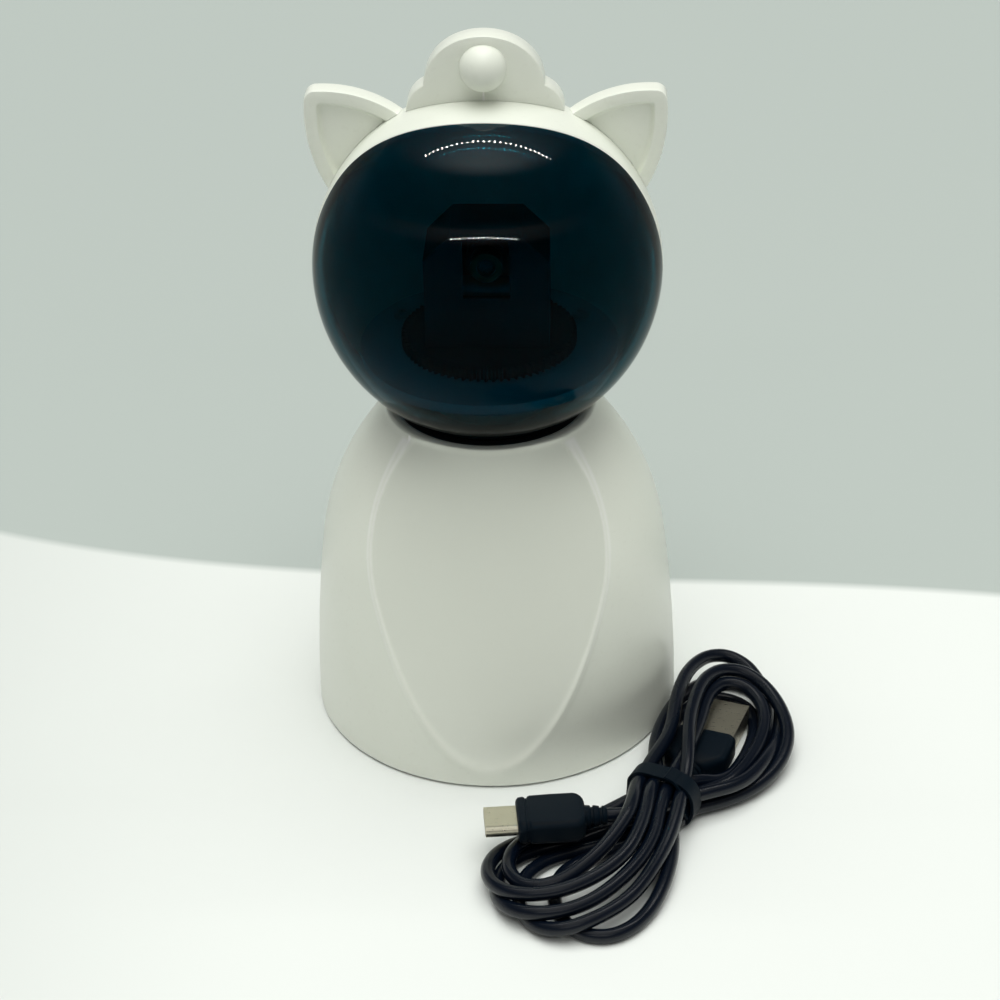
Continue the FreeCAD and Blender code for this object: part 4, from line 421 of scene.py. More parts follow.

# %% [markdown]
# The bib on the front of the base is painted a touch darker than the shell round it, a painted shade
# that fades in from its border, and the fine ridge at its border is painted white as a painted
# highlight. Both are part of one moulding, so they share one finish. A number kept on each point of the
# mesh tells them apart: below zero inside the bib, above zero on the ridge.

# %% White shell with a bib in painted shade and a ridge in painted highlight
BIB_PAINTED_SHADE, RIDGE_PAINTED_HIGHLIGHT = (0.76, 0.785, 0.705), (1.0, 1.0, 0.98)
bib_white = white_shell("satin white shell with a bib")
tree, shader = bib_white.node_tree, bib_white.node_tree.nodes["Principled BSDF"].inputs
tone = add(tree, "ShaderNodeAttribute", attribute_name="bib_shade_and_highlight").outputs["Fac"]
# Painted shade: a darker white is mixed in where the number is below zero, inside the bib.
shade_painted_bib_colour = mixed(tree, ramp(tree, tone, 0.0, -1.0), shader["Base Color"].links[0].from_socket, BIB_PAINTED_SHADE)
# Painted highlight: near-white is mixed in where the number is above zero, on the ridge.
tree.links.new(mixed(tree, ramp(tree, tone, 0.0, 1.0), shade_painted_bib_colour, RIDGE_PAINTED_HIGHLIGHT), shader["Base Color"])
print("finish with a bib:", bib_white.name)

# %% [markdown]
# ## Bare metal
# The screws are zinc-plated steel, the plug shells are nickel, and the laser's housing is blackened brass.
# Drawn or turned metal has fine marks along one way. Noise that is stretched along that way gives them, and
# costs far less than modelling the marks would.


# %% Metal with fine marks
def metal(name, colour, rough, stretch, tone):
    """A metal with marks drawn out along one way, and a slight change of colour."""
    material, tree, shader = start_material(name)
    shader["Metallic"].default_value = 1.0
    place = object_place(tree)
    drawn = add(tree, "ShaderNodeMapping", {"Vector": place, "Scale": stretch}).outputs[0]
    marks = noise(tree, 700.0, 3.0, Vector=drawn)
    tree.links.new(mixed(tree, noise(tree, 260.0, Vector=place), colour, tone), shader["Base Color"])
    tree.links.new(ramp(tree, marks, 0.0, 1.0, rough - 0.06, rough + 0.1), shader["Roughness"])
    give_bump(tree, shader, marks, 0.08, 0.00003)
    return material


finishes["steel"] = metal("screw steel", (0.55, 0.55, 0.54), 0.32, (1, 1, 14), (0.42, 0.42, 0.43))
finishes["nickel"] = metal("nickel plug shell", (0.73, 0.69, 0.545), 0.28, (1, 5, 1), (0.68, 0.64, 0.51))
finishes["brass"] = metal("laser brass", (0.11, 0.085, 0.05), 0.36, (14, 1, 14), (0.08, 0.065, 0.04))
print("metal finishes: steel, nickel, brass")

# %% [markdown]
# ## Smoked dome
# The dome is blue-green tinted acrylic, 2 mm thick, with the turret dimly seen behind it. Real tinted glass
# in Blender is a volume, which is slow and noisy. Here the glass has a tint on its surface and an almost
# straight way through it, and the tint deepens where the dome is seen edge on, as thicker plastic would.
# A polished coat on the crest and on a narrow brow catches the rows of small ceiling lamps. The rest
# of the dome stays free of haze, so it reads as dark and deep.

# %% Tinted glass with a polished brow
DOME_TINT, DOME_SMUDGED, DOME_EDGE = (0.012, 0.215, 0.30), (0.02, 0.23, 0.31), (0.0, 0.010, 0.015)
CREST_START, CREST_FULL = 0.1338, 0.1358
BROW_HEIGHT, BROW_START, BROW_FULL = 0.1253, 0.0016, 0.0007
POLISH_END, POLISH_FULL = 0.023, 0.014
smoked, tree, shader = start_material("smoked dome")
finishes["smoked_dome"] = smoked
for label, value in {"Transmission Weight": 1.0, "IOR": 1.09, "Coat Roughness": 0.015}.items():
    shader[label].default_value = value
marks = add(tree, "ShaderNodeGroup", {"Size": 28.0, "Amount": 0.5}, node_tree=smudge).outputs["Mask"]
edge_on = add(tree, "ShaderNodeLayerWeight", {"Blend": 0.5}).outputs["Facing"]
rim = ramp(tree, edge_on, 0.42, 0.72, ease="SMOOTHSTEP")
tree.links.new(mixed(tree, rim, mixed(tree, marks, DOME_TINT, DOME_SMUDGED), DOME_EDGE), shader["Base Color"])
spot = add(tree, "ShaderNodeSeparateXYZ", {0: object_place(tree)}).outputs
crest = ramp(tree, spot["Z"], CREST_START, CREST_FULL, ease="SMOOTHSTEP")
from_brow = math_node(tree, "ABSOLUTE", math_node(tree, "SUBTRACT", spot["Z"], BROW_HEIGHT))
brow = ramp(tree, from_brow, BROW_START, BROW_FULL, ease="SMOOTHSTEP")
central = ramp(tree, math_node(tree, "ABSOLUTE", spot["X"]), POLISH_END, POLISH_FULL, ease="SMOOTHSTEP")
polished = math_node(tree, "MULTIPLY", math_node(tree, "ADD", crest, brow, clamp=True), central)
tree.links.new(polished, shader["Coat Weight"])
tree.links.new(ramp(tree, marks, 0.0, 1.0, 0.02, 0.07), shader["Roughness"])
give_bump(tree, shader, noise(tree, 45.0, 1.0, Vector=object_place(tree)), 0.02, 0.0004)
print("dome finish: polished above", CREST_START, "m and at", BROW_HEIGHT, "m")

# %% [markdown]
# ## Lamp and circuit board
# The status lamp is a small clear part, slightly cloudy inside. The board is green lacquer over copper
# tracks. It is seldom seen, so a brick pattern stands for its tracks instead of a drawn layout.

# %% Clear lamp and green board
clear, tree, shader = start_material("clear lamp")
finishes["lamp_clear"] = clear
shader["Transmission Weight"].default_value = 0.9
cloud = noise(tree, 600.0)
tree.links.new(mixed(tree, cloud, (0.85, 0.9, 0.88), (0.7, 0.78, 0.75)), shader["Base Color"])
tree.links.new(ramp(tree, cloud, 0.0, 1.0, 0.08, 0.25), shader["Roughness"])

board, tree, shader = start_material("green circuit board")
finishes["circuit_green"] = board
flat = add(tree, "ShaderNodeMapping", {"Vector": object_place(tree), "Rotation": (math.pi / 2, 0, 0)})
tracks = add(tree, "ShaderNodeTexBrick", {
    "Vector": flat.outputs[0], "Scale": 260.0, "Mortar Size": 0.06, "Color1": (0.01, 0.10, 0.045, 1),
    "Color2": (0.012, 0.13, 0.055, 1), "Mortar": (0.03, 0.24, 0.10, 1)}).outputs
tree.links.new(tracks["Color"], shader["Base Color"])
tree.links.new(ramp(tree, tracks["Fac"], 0.0, 1.0, 0.28, 0.45), shader["Roughness"])
give_bump(tree, shader, tracks["Fac"], 0.3, 0.00005)
print("all finishes:", len(finishes))

# %% Put a finish on every node of the frame
slot_of = {row["node"]: row["material_slot"] for row in frame["record"]["subparts"]}
for name, thing in frame["nodes"].items():
    thing.data.materials.clear()
    thing.data.materials.append(finishes[slot_of[name]])
print("frame nodes finished:", len(slot_of))

# %% [markdown]
# ## Mesh helpers
# Most pieces here are skins made from rings of points: the base is a stack of rings round the upright
# axis, the head is a fan of rings round its front, a plug is a row of rings along its cable. One
# helper joins rings into faces, so each piece only has to say where its rings are. Real moulded edges
# are never sharp, so the rings are doubled near each edge to round it.


# %% Rings to mesh
def joined_rings(rings, close_columns=True, close_rows=False, cap_start=False, cap_end=False):
    """Points and faces of a skin through rings that all have the same number of points."""
    count = len(rings[0])
    points = [tuple(point) for ring in rings for point in ring]
    faces = []
    rows = len(rings) if close_rows else len(rings) - 1
    columns = count if close_columns else count - 1
    for row in range(rows):
        below, above = row * count, (row + 1) % len(rings) * count
        for column in range(columns):
            beside = (column + 1) % count
            faces.append((below + column, below + beside, above + beside, above + column))
    if cap_start:
        faces.append(tuple(range(count))[::-1])
    if cap_end:
        last = (len(rings) - 1) * count
        faces.append(tuple(range(last, last + count)))
    return points, faces


def new_piece(name, points, faces, body, finish, nodes=(), place=None, sharp=35.0):
    """A smooth-shaded object from points in millimetres, riding on a body of the frame."""
    mesh = bpy.data.meshes.new(name)
    mesh.from_pydata([Vector(point) * MM for point in points], [], faces)
    if place is not None:
        mesh.transform(place)
    work = bmesh.new()
    work.from_mesh(mesh)
    bmesh.ops.remove_doubles(work, verts=work.verts, dist=0.000002)
    bmesh.ops.recalc_face_normals(work, faces=work.faces)
    work.to_mesh(mesh)
    work.free()
    mesh.polygons.foreach_set("use_smooth", [True] * len(mesh.polygons))
    mesh.set_sharp_from_angle(angle=math.radians(sharp))
    mesh.materials.append(finish)
    piece = bpy.data.objects.new(name, mesh)
    scene.collection.objects.link(piece)
    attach(piece, body)
    if nodes:
        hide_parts(*nodes)
    return piece


def cut_away(piece, cutter_points, cutter_faces, sharp=35.0):
    """Cut a solid out of a piece and keep the result as its own mesh."""
    mesh = bpy.data.meshes.new("cutter")
    mesh.from_pydata([Vector(point) * MM for point in cutter_points], [], cutter_faces)
    work = bmesh.new()
    work.from_mesh(mesh)
    bmesh.ops.remove_doubles(work, verts=work.verts, dist=0.000001)
    bmesh.ops.recalc_face_normals(work, faces=work.faces)
    work.to_mesh(mesh)
    work.free()
    cutter = bpy.data.objects.new("cutter", mesh)
    scene.collection.objects.link(cutter)
    modifier = piece.modifiers.new("cut", "BOOLEAN")
    modifier.object = cutter
    modifier.solver = "EXACT"
    bpy.context.view_layer.update()
    result = bpy.data.meshes.new_from_object(piece.evaluated_get(bpy.context.evaluated_depsgraph_get()))
    piece.modifiers.clear()
    piece.data = result
    bpy.data.objects.remove(cutter)
    result.polygons.foreach_set("use_smooth", [True] * len(result.polygons))
    result.set_sharp_from_angle(angle=math.radians(sharp))


def turned(profile, segments=48):
    """Rings of a shape turned about the local X axis from (place, radius) pairs."""
    angles = [2 * math.pi * step / segments for step in range(segments)]
    return [[(place, radius * math.cos(angle), radius * math.sin(angle)) for angle in angles]
            for place, radius in profile]


def lying_at(plug):
    """Matrix that lays a piece made along X at a plug's place and turn."""
    spot, turn = plug
    return Matrix.Translation(spot * MM) @ Matrix.Rotation(math.radians(turn), 4, "Z")


print("mesh helpers ready")

# %% [markdown]
# ## Base shell
# The base is a tall rounded cone in white plastic, with a flat bib let into its front and a round cup
# on top where the ball of the head sits. It could be turned like a vase, but the bib would then have
# to be cut, and a cut leaves a hard crease. Here each ring of the vase is pulled back to the bib's
# surface where the bib is deeper. A small bead along the border gives the fine ridge that the moulded
# bib has. The columns crowd together near the ridge, where the shape turns.

# %% Sizes of the base
BALL_HEIGHT = 104.8
FOOT_RADIUS, FOOT_ARC, FOOT_ARC_DROP = 40.0, 336.6, 2.5
SHOULDER_ARC, SHOULDER_CENTRE = 55.4, (-17.8, 34.1)
SIDE_TOP, SHOULDER_TOP, LIP_HEIGHT, LIP_RADIUS = 41.3, 67.4, 72.2, 22.8
FOOT, BASE_WALL = 0.8, 2.2
BIB_FOOT, BIB_RISE = 4.0, 69.4
BEAD, BEAD_WIDTH, BEAD_TOP, BEAD_FADE = 0.30, 0.38, 72.6, 3.0
CUP_BALL, CUP_UNDERSIDE, NECK_HOLE = 38.1, 40.1, 6.05
FRONT_STEPS, BACK_STEPS, CROWDING = 72, 110, 0.8


# %% Shape of the base
def base_radius(height):
    """Outer radius of the base at a height: two long arcs, then a straight run to the lip."""
    if height <= SIDE_TOP:
        return FOOT_RADIUS - FOOT_ARC + math.sqrt(FOOT_ARC ** 2 - (height + FOOT_ARC_DROP) ** 2)
    if height <= SHOULDER_TOP:
        return SHOULDER_CENTRE[0] + math.sqrt(SHOULDER_ARC ** 2 - (height - SHOULDER_CENTRE[1]) ** 2)
    top = base_radius(SHOULDER_TOP)
    return top + (LIP_RADIUS - top) * (height - SHOULDER_TOP) / (LIP_HEIGHT - SHOULDER_TOP)


def bib_at(height):
    """The base's radius at a height, the bib's half width, how far forward its middle is, and its bulge."""
    share = (height - BIB_FOOT) / BIB_RISE
    bow = share * (1 - share)
    ridge, middle = 40 - 25.4 * share + 7.6 * bow, 40 - 18.1 * share + 3.2 * bow
    full = base_radius(min(max(height, FOOT), LIP_HEIGHT))
    return full, math.sqrt(max(full ** 2 - min(ridge, full) ** 2, 9.0)), middle, middle - ridge


def base_ring(radius, height, inset=0.0, softness=0.12):
    """One ring of the base, pulled back to the bib at the front."""
    full, half, middle, bulge = bib_at(height)
    spread = math.asin(min(half / full, 1.0))
    angles = [-math.pi / 2 + spread * math.sin(math.pi / 2 * (2 * step / FRONT_STEPS - 1))
              for step in range(FRONT_STEPS)]
    for step in range(BACK_STEPS):
        t = step / BACK_STEPS
        crowded = t - math.sin(2 * math.pi * t) / (2 * math.pi) * CROWDING
        angles.append(-math.pi / 2 + spread + (2 * math.pi - 2 * spread) * crowded)
    bead_here = 0.0 if inset else BEAD * min(1.0, max(0.0, (BEAD_TOP - height) / BEAD_FADE))
    ring = []
    for angle in angles:
        x, y = radius * math.cos(angle), radius * math.sin(angle)
        if y < 0:
            bib = inset - middle + bulge / half ** 2 * x * x
            bead = bead_here * math.exp(-((y - bib) / BEAD_WIDTH) ** 2)
            y = 0.5 * (y + bib + math.sqrt((y - bib) ** 2 + softness ** 2)) - bead
        ring.append((x, y, height))
    return ring


print("base radius at the foot and the lip:", [round(base_radius(z), 1) for z in (FOOT, LIP_HEIGHT)])


# %% Round rings for the lip and the cup
def round_ring(radius, height):
    """A true circle whose columns stay in line with the base's own."""
    return [(radius * x / math.hypot(x, y), radius * y / math.hypot(x, y), height) for x, y, _ in LIP_RING]


def cup_ring(radius, ball):
    """A circle on a hollow sphere round the ball's centre."""
    return round_ring(radius, BALL_HEIGHT - math.sqrt(ball ** 2 - radius ** 2))


LIP_RING = base_ring(base_radius(LIP_HEIGHT), LIP_HEIGHT)
print("columns in a ring:", len(LIP_RING))

# %% Base shell
LIP_MIDDLE, LIP_ROUND = (21.3, 71.95), 1.45
OUTER_HEIGHTS = [*np.linspace(1.8, 66.5, 56), SHOULDER_TOP, 69.0, 70.6, 71.8, 72.5]
LIP_TOP = [(20.9, 73.44), (20.5, 73.42), (20.2, 73.34), (20.0, 73.2), (19.9, 73.02)]
rings = [base_ring(base_radius(FOOT) - 0.35, 0.35), base_ring(base_radius(1.1), 0.75)]
rings += [base_ring(base_radius(z), z) for z in OUTER_HEIGHTS]
for angle in np.radians([39 + 8.5 * step for step in range(7)]):
    out, rise = LIP_ROUND * math.cos(angle), LIP_ROUND * math.sin(angle)
    rings.append(base_ring(LIP_MIDDLE[0] + out, LIP_MIDDLE[1] + rise))
rings += [round_ring(radius, height) for radius, height in LIP_TOP]
rings += [cup_ring(radius, CUP_BALL) for radius in (19.9, 19.0, 17.0, 14.0, 11.0, 8.5, 6.6, NECK_HOLE)]
rings += [cup_ring(radius, CUP_UNDERSIDE) for radius in (NECK_HOLE, 9.0, 13.0, 17.0, 19.5)]
rings += [base_ring(base_radius(z) - BASE_WALL, z, BASE_WALL) for z in np.linspace(70.4, 1.4, 30)]
rings.append(base_ring(base_radius(FOOT) - 1.9, 0.35, 1.9))
points, faces = joined_rings(rings, close_rows=True)
shell = new_piece("base_body", points, faces, "base", bib_white, ["base_shell"])
print("base shell:", len(shell.data.polygons), "faces")

# %% [markdown]
# The back of the base has four openings: the charging socket, a hole for the lamp and two for the
# buttons. They go through a curved wall, so they are cut with straight cutters, as a drill would.

# %% Openings in its back
CUT_FROM, CUT_TO = 30, 50
LAMP_HOLE, LAMP_RISE = 1.1, 18.5
BUTTON_HOLE, BUTTON_RISES = 3.9, (27.5, 41.5)
SOCKET_HALF_WIDTH, SOCKET_ROUND, SOCKET_RISE = 4.82, 1.98, 12.0


def cutter_along_y(outline):
    """A cutter with the same outline from end to end."""
    ends = [[(x, y, z) for x, z in outline] for y in (CUT_FROM, CUT_TO)]
    return joined_rings(ends, cap_start=True, cap_end=True)


def round_hole(radius, rise, segments=40):
    """A cutter for a round hole on the middle line."""
    angles = [2 * math.pi * step / segments for step in range(segments)]
    return cutter_along_y([(radius * math.cos(angle), rise + radius * math.sin(angle)) for angle in angles])


def long_hole(half_width, radius, rise, segments=16):
    """A cutter for a hole with two round ends."""
    outline = []
    for side in (1, -1):
        centre = side * (half_width - radius)
        for angle in np.radians([-90 * side + 180 * step / segments for step in range(segments + 1)]):
            outline.append((centre + radius * math.cos(angle), rise + radius * math.sin(angle)))
    return cutter_along_y(outline)


cutters = [long_hole(SOCKET_HALF_WIDTH, SOCKET_ROUND, SOCKET_RISE), round_hole(LAMP_HOLE, LAMP_RISE)]
cutters += [round_hole(BUTTON_HOLE, rise) for rise in BUTTON_RISES]
for cutter in cutters:
    cut_away(shell, *cutter)
print("base shell after its four openings:", len(shell.data.polygons), "faces")


# %% Mark the bib's painted shade and its ridge's painted highlight
def bib_shade_and_highlight(x, y, height):
    """Below zero for the bib's painted shade, above zero for the painted highlight on its ridge, zero
    elsewhere.
    """
    if y > -8 or not 2.5 < height < 72.4:
        return 0.0
    full, half, middle, bulge = bib_at(height)
    sunk = full - math.hypot(x, y)
    proud = y + middle - bulge / half ** 2 * x * x
    # Strength of the painted highlight on the ridge, stronger higher up.
    wear_and_highlight = 0.75 * min(1.0, max(0.15, (height - 10) / 45))
    crest = wear_and_highlight * math.exp(-(sunk / 0.20) ** 2 - (proud / 0.26) ** 2)
    # Above zero is the ridge's painted highlight, below zero the bib's painted shade.
    return crest if crest > 0.05 else -min(1.0, max(0.0, (sunk - 0.15) / 0.3))


marks = shell.data.attributes.new("bib_shade_and_highlight", "FLOAT", "POINT")
marks.data.foreach_set("value", [bib_shade_and_highlight(*(vertex.co / MM)) for vertex in shell.data.vertices])
print("bib marked on", len(marks.data), "points")

# %% [markdown]
# ## Head shells
# The head is a hollow ball in two halves. The front is smoked and see-through, the back is white and
# comes forward over the top as a visor. A ball cut by a flat plane would not have that visor. Here both
# halves are grown as rings round the ball's front pole, out to the seam. The seam is a curve on the
# ball, found for each direction by halving the interval until the ball meets it. Each half is a closed
# skin with an inner side 2 mm in, because smoked plastic needs its thickness to look right.

# %% Seam and polar grid
BALL, WALL = 36.1, 2.0
SEAM_BEHIND, VISOR_START, VISOR_CENTRE, VISOR_ARC = 2.7, 19.0, (-24.68, 19.98), 22.0
NECK_EDGE = 0.8731
TURNS = [2 * math.pi * step / 180 for step in range(180)]


def seam_y(rise):
    """How far forward the seam is at a height over the ball's centre."""
    if rise <= VISOR_START:
        return -SEAM_BEHIND
    return VISOR_CENTRE[0] + math.sqrt(max(VISOR_ARC ** 2 - (rise - VISOR_CENTRE[1]) ** 2, 0.0))


def seam_angle(turn):
    """Angle from the front pole to the seam in the direction of a turn."""
    low, high = 0.2, math.pi * 0.75
    for _ in range(40):
        middle = (low + high) / 2
        in_front = -BALL * math.cos(middle) < seam_y(BALL * math.sin(middle) * math.sin(turn))
        low, high = (middle, high) if in_front else (low, middle)
    return low


def hole_angle(turn):
    """Angle at which the round opening for the neck starts, or None beside it."""
    down = -math.sin(turn)
    return math.asin(NECK_EDGE / down) if down > NECK_EDGE else None


def on_ball(radius, angle, turn):
    """A point on the ball from its angle off the front pole and its turn about it."""
    return (radius * math.sin(angle) * math.cos(turn), -radius * math.cos(angle),
            BALL_HEIGHT + radius * math.sin(angle) * math.sin(turn))


seam_angles = [seam_angle(turn) for turn in TURNS]
print("seam from", round(math.degrees(min(seam_angles))), "to", round(math.degrees(max(seam_angles))),
      "degrees off the front")

# %% Front dome
SEAM_GAP = 0.0022
INWARD_STEPS = list(np.linspace(0.9, 0.02, 34))
dome_ends = []
for turn, seam in zip(TURNS, seam_angles):
    hole = hole_angle(turn)
    dome_ends.append(min(seam, hole) - SEAM_GAP if hole else seam - SEAM_GAP)


def dome_rings(radius, shares):
    """Rings of the dome at shares of the way from the front pole to its edge."""
    return [[on_ball(radius, end * share, turn) for turn, end in zip(TURNS, dome_ends)] for share in shares]


rings = dome_rings(BALL, INWARD_STEPS[::-1] + [0.94, 0.97, 0.985, 0.995, 1.0])
rings += dome_rings(BALL - WALL, [1.0, 0.995, 0.98, 0.95] + INWARD_STEPS)
points, faces = joined_rings(rings, cap_start=True, cap_end=True)
dome = new_piece("smoked_front", points, faces, "head", finishes["smoked_dome"],
                 ["front_dome"])
print("dome:", len(dome.data.polygons), "faces")

# %% Rings of the rear shell
LAST_SHARE, OUTER_RINGS, INNER_RINGS = 0.985, 40, 30
shell_starts = []
for turn, seam in zip(TURNS, seam_angles):
    hole = hole_angle(turn)
    shell_starts.append(max(seam, math.pi - hole) if hole else seam)


def rear_ring(radius, share, lead=0.0):
    """One ring of the rear shell, from its edge at share 0 to the back pole at share 1."""
    return [on_ball(radius, start + lead + (math.pi - start - lead) * share, turn)
            for turn, start in zip(TURNS, shell_starts)]


EDGE_STEPS = [(0.25, 0.0035), (0.06, 0.0075), (0.0, 0.014)]
edge_rings = [rear_ring(BALL - inset, 0.0, lead) for inset, lead in EDGE_STEPS]
rings = edge_rings + [rear_ring(BALL, share) for share in np.linspace(0.03, LAST_SHARE, OUTER_RINGS)]
rings += [rear_ring(BALL - WALL, share) for share in np.linspace(LAST_SHARE, 0.03, INNER_RINGS)]
rings += [rear_ring(BALL - WALL, 0.0, 0.012), rear_ring(BALL - WALL + 0.2, 0.0, 0.0035)]
print("rear shell rings:", len(rings))

# %% [markdown]
# The outer and the inner skin each close in a point at the back pole, so the strip of faces that joins
# them there is taken out and two fans of triangles are put in. Four screw posts stand inside.

# %% Rear shell with its screw posts
POSTS, POST_RADIUS, POST_TOP = ((19, 11), (-19, 11), (10, 22), (-10, 22)), 2.6, 84.9
count = len(TURNS)
bridge = (len(edge_rings) + OUTER_RINGS - 1) * count
points, faces = joined_rings(rings, close_rows=True)
poles = [len(points), len(points) + 1]
faces = [face for face in faces
         if not (bridge <= face[0] < bridge + count and bridge + count <= face[2] < bridge + 2 * count)]
points += [(0, BALL, BALL_HEIGHT), (0, BALL - WALL, BALL_HEIGHT)]
for column in range(count):
    beside = (column + 1) % count
    faces.append((bridge + column, bridge + beside, poles[0]))
    faces.append((bridge + count + beside, bridge + count + column, poles[1]))
for x, y in POSTS:
    foot = BALL_HEIGHT - math.sqrt((BALL - WALL / 2) ** 2 - x * x - y * y)
    start = len(points)
    angles = [2 * math.pi * step / 24 for step in range(24)]
    circle = [(x + POST_RADIUS * math.cos(angle), y + POST_RADIUS * math.sin(angle)) for angle in angles]
    post_rings = [[(*point, z) for point in circle] for z in (foot, POST_TOP)]
    post_points, post_faces = joined_rings(post_rings, cap_start=True, cap_end=True)
    points += post_points
    faces += [tuple(start + index for index in face) for face in post_faces]
rear = new_piece("rear_head_shell", points, faces, "head", finishes["white_abs"], ["rear_shell"])
print("rear shell:", len(rear.data.polygons), "faces")

# %% [markdown]
# ## Ears and crown
# These are moulded plates that plug into the top of the head. Each is drawn as an outline of arcs. The
# same outline drawn inwards by an even amount gives the next ring, which scaling it would not, because
# the rim would then be wide at the tip and narrow at the foot. The rings step over a rounded rim and,
# on the ears, down into a sunk face. Where a plate meets the ball it is cut with the ball's own sphere,
# so it sits on the head with no gap seen from any side.


# %% Arcs for outlines
def swept(centre, radius, first, last, steps):
    """Points of an arc between two angles, without its last point."""
    angles = [first + (last - first) * step / steps for step in range(steps)]
    return [(centre[0] + radius * math.cos(angle), centre[1] + radius * math.sin(angle)) for angle in angles]


def meeting(centre_a, radius_a, centre_b, radius_b):
    """Where two circles meet, on the side with the larger height."""
    a, b = Vector(centre_a), Vector(centre_b)
    gap = (b - a).length
    along = (gap ** 2 + radius_a ** 2 - radius_b ** 2) / (2 * gap)
    off = math.sqrt(radius_a ** 2 - along ** 2)
    way = (b - a) / gap
    meets = [a + way * along + Vector((-way.y, way.x)) * side * off for side in (1, -1)]
    return max(meets, key=lambda point: point.y)


def bearing(centre, point):
    """Angle of a point seen from a centre."""
    return math.atan2(point[1] - centre[1], point[0] - centre[0])


def shrunk(outline, centre, share):
    """An outline drawn towards a centre."""
    return [(centre[0] + (x - centre[0]) * share, centre[1] + (z - centre[1]) * share) for x, z in outline]


print("arc helpers ready")

# %% Outline of an ear
SIDE_CENTRE, SIDE_ARC, SIDE_FOOT = (2.757, 135.742), 34.0, -0.85
TOP_CENTRE, TOP_ARC, TOP_FOOT = (32.997, 115.049), 26.0, 2.75
TIP_ARC, TIP_LEAST = 2.4, 0.9


def ear_outline(inset):
    """An ear's outline seen from the front, drawn inwards by the same amount all round."""
    side, top, tip = SIDE_ARC - inset, TOP_ARC - inset, max(TIP_ARC - inset, TIP_LEAST)
    tip_centre = meeting(SIDE_CENTRE, side - tip, TOP_CENTRE, top - tip)
    first, last = bearing(SIDE_CENTRE, tip_centre), bearing(TOP_CENTRE, tip_centre)
    outline = swept(SIDE_CENTRE, side, SIDE_FOOT, first, 40)
    outline += swept(tip_centre, tip, first, last, 12)
    outline += swept(TOP_CENTRE, top, last, TOP_FOOT, 44)
    start, end = outline[0], swept(TOP_CENTRE, top, TOP_FOOT, TOP_FOOT + 1, 1)[0]
    foot = [step / 16 for step in range(16)]
    return outline + [(end[0] + (start[0] - end[0]) * t, end[1] + (start[1] - end[1]) * t) for t in foot]


print("ear tip:", [round(max(point[axis] for point in ear_outline(0)), 1) for axis in (0, 1)])

# %% Both ears
EAR_BACK, EAR_FRONT, EAR_FACE = 9.5, 5.0, 6.3
EAR_RIM, EAR_BACK_INSET, EAR_MIDDLE = 3.8, 0.8, (28.0, 127.6)
EAR_STEPS = [(EAR_BACK_INSET, EAR_BACK), (0.35, EAR_BACK - 0.05), (0.1, EAR_BACK - 0.2),
             (0.0, EAR_BACK - 0.5), (0.0, 5.4), (0.03, 5.2), (0.12, 5.06), (0.3, EAR_FRONT),
             (2.4, EAR_FRONT), (2.6, 5.04), (2.75, 5.18), (2.95, 5.6), (3.2, 6.05), (3.45, 6.25),
             (EAR_RIM, EAR_FACE)]


def ball_cutter(radius, rows=60, columns=96):
    """A sphere round the head's centre, as points and faces."""
    turns = [2 * math.pi * column / columns for column in range(columns)]
    rings = [[on_ball(radius, math.pi * (row + 0.5) / rows, turn) for turn in turns] for row in range(rows)]
    return joined_rings(rings, cap_start=True, cap_end=True)


def level_rings(outline, middle, shares, depth):
    """Rings that fill a flat face, from an outline towards its middle or back out."""
    return [[(x, depth, z) for x, z in shrunk(outline, middle, share)] for share in shares]


ear_rings = level_rings(ear_outline(EAR_BACK_INSET), EAR_MIDDLE, (0.08, 0.4, 0.75), EAR_BACK)
ear_rings += [[(x, depth, z) for x, z in ear_outline(inset)] for inset, depth in EAR_STEPS]
ear_rings += level_rings(ear_outline(EAR_RIM), EAR_MIDDLE, (0.8, 0.55, 0.3, 0.08), EAR_FACE)
for side, name in ((1, "right_ear"), (-1, "left_ear")):
    mirrored_rings = [[(side * x, y, z) for x, y, z in ring] for ring in ear_rings]
    points, faces = joined_rings(mirrored_rings, cap_start=True, cap_end=True)
    ear = new_piece(name + "_plate", points, faces, "head", finishes["white_abs"], [name])
    cut_away(ear, *ball_cutter(BALL + 0.06))
    print(name, len(ear.data.polygons), "faces")

# %% Outline of the crown
ARCH_CENTRE, ARCH, LOBE_CENTRE, LOBE = (0.0, 142.3), 12.2, (7.6, 136.25), 8.4
CROWN_FOOT, CROWN_FRONT_CURVE = 126.0, 34.0


def crown_outline(inset):
    """Outline of the crown: a high middle arch that runs down into a rounded shoulder on each side."""
    arch, lobe = ARCH - inset, LOBE - inset
    notch = meeting(ARCH_CENTRE, arch, LOBE_CENTRE, lobe)
    side = LOBE_CENTRE[0] + lobe
    outline = [(side, CROWN_FOOT + (LOBE_CENTRE[1] - CROWN_FOOT) * step / 12) for step in range(12)]
    outline += swept(LOBE_CENTRE, lobe, 0.0, bearing(LOBE_CENTRE, notch), 22)
    outline += swept(ARCH_CENTRE, arch, bearing(ARCH_CENTRE, notch), math.pi / 2, 34)
    outline += [(0.0, ARCH_CENTRE[1] + arch)] + [(-x, z) for x, z in outline[:0:-1]]
    return outline + [(-side + 2 * side * step / 20, CROWN_FOOT) for step in range(20)]


def bent(x, depth):
    """Place of a crown point from front to back: its front is curved like the head."""
    return CROWN_FRONT_CURVE - math.sqrt((CROWN_FRONT_CURVE - depth) ** 2 - x * x)


print("crown top:", round(max(z for x, z in crown_outline(0)), 1))

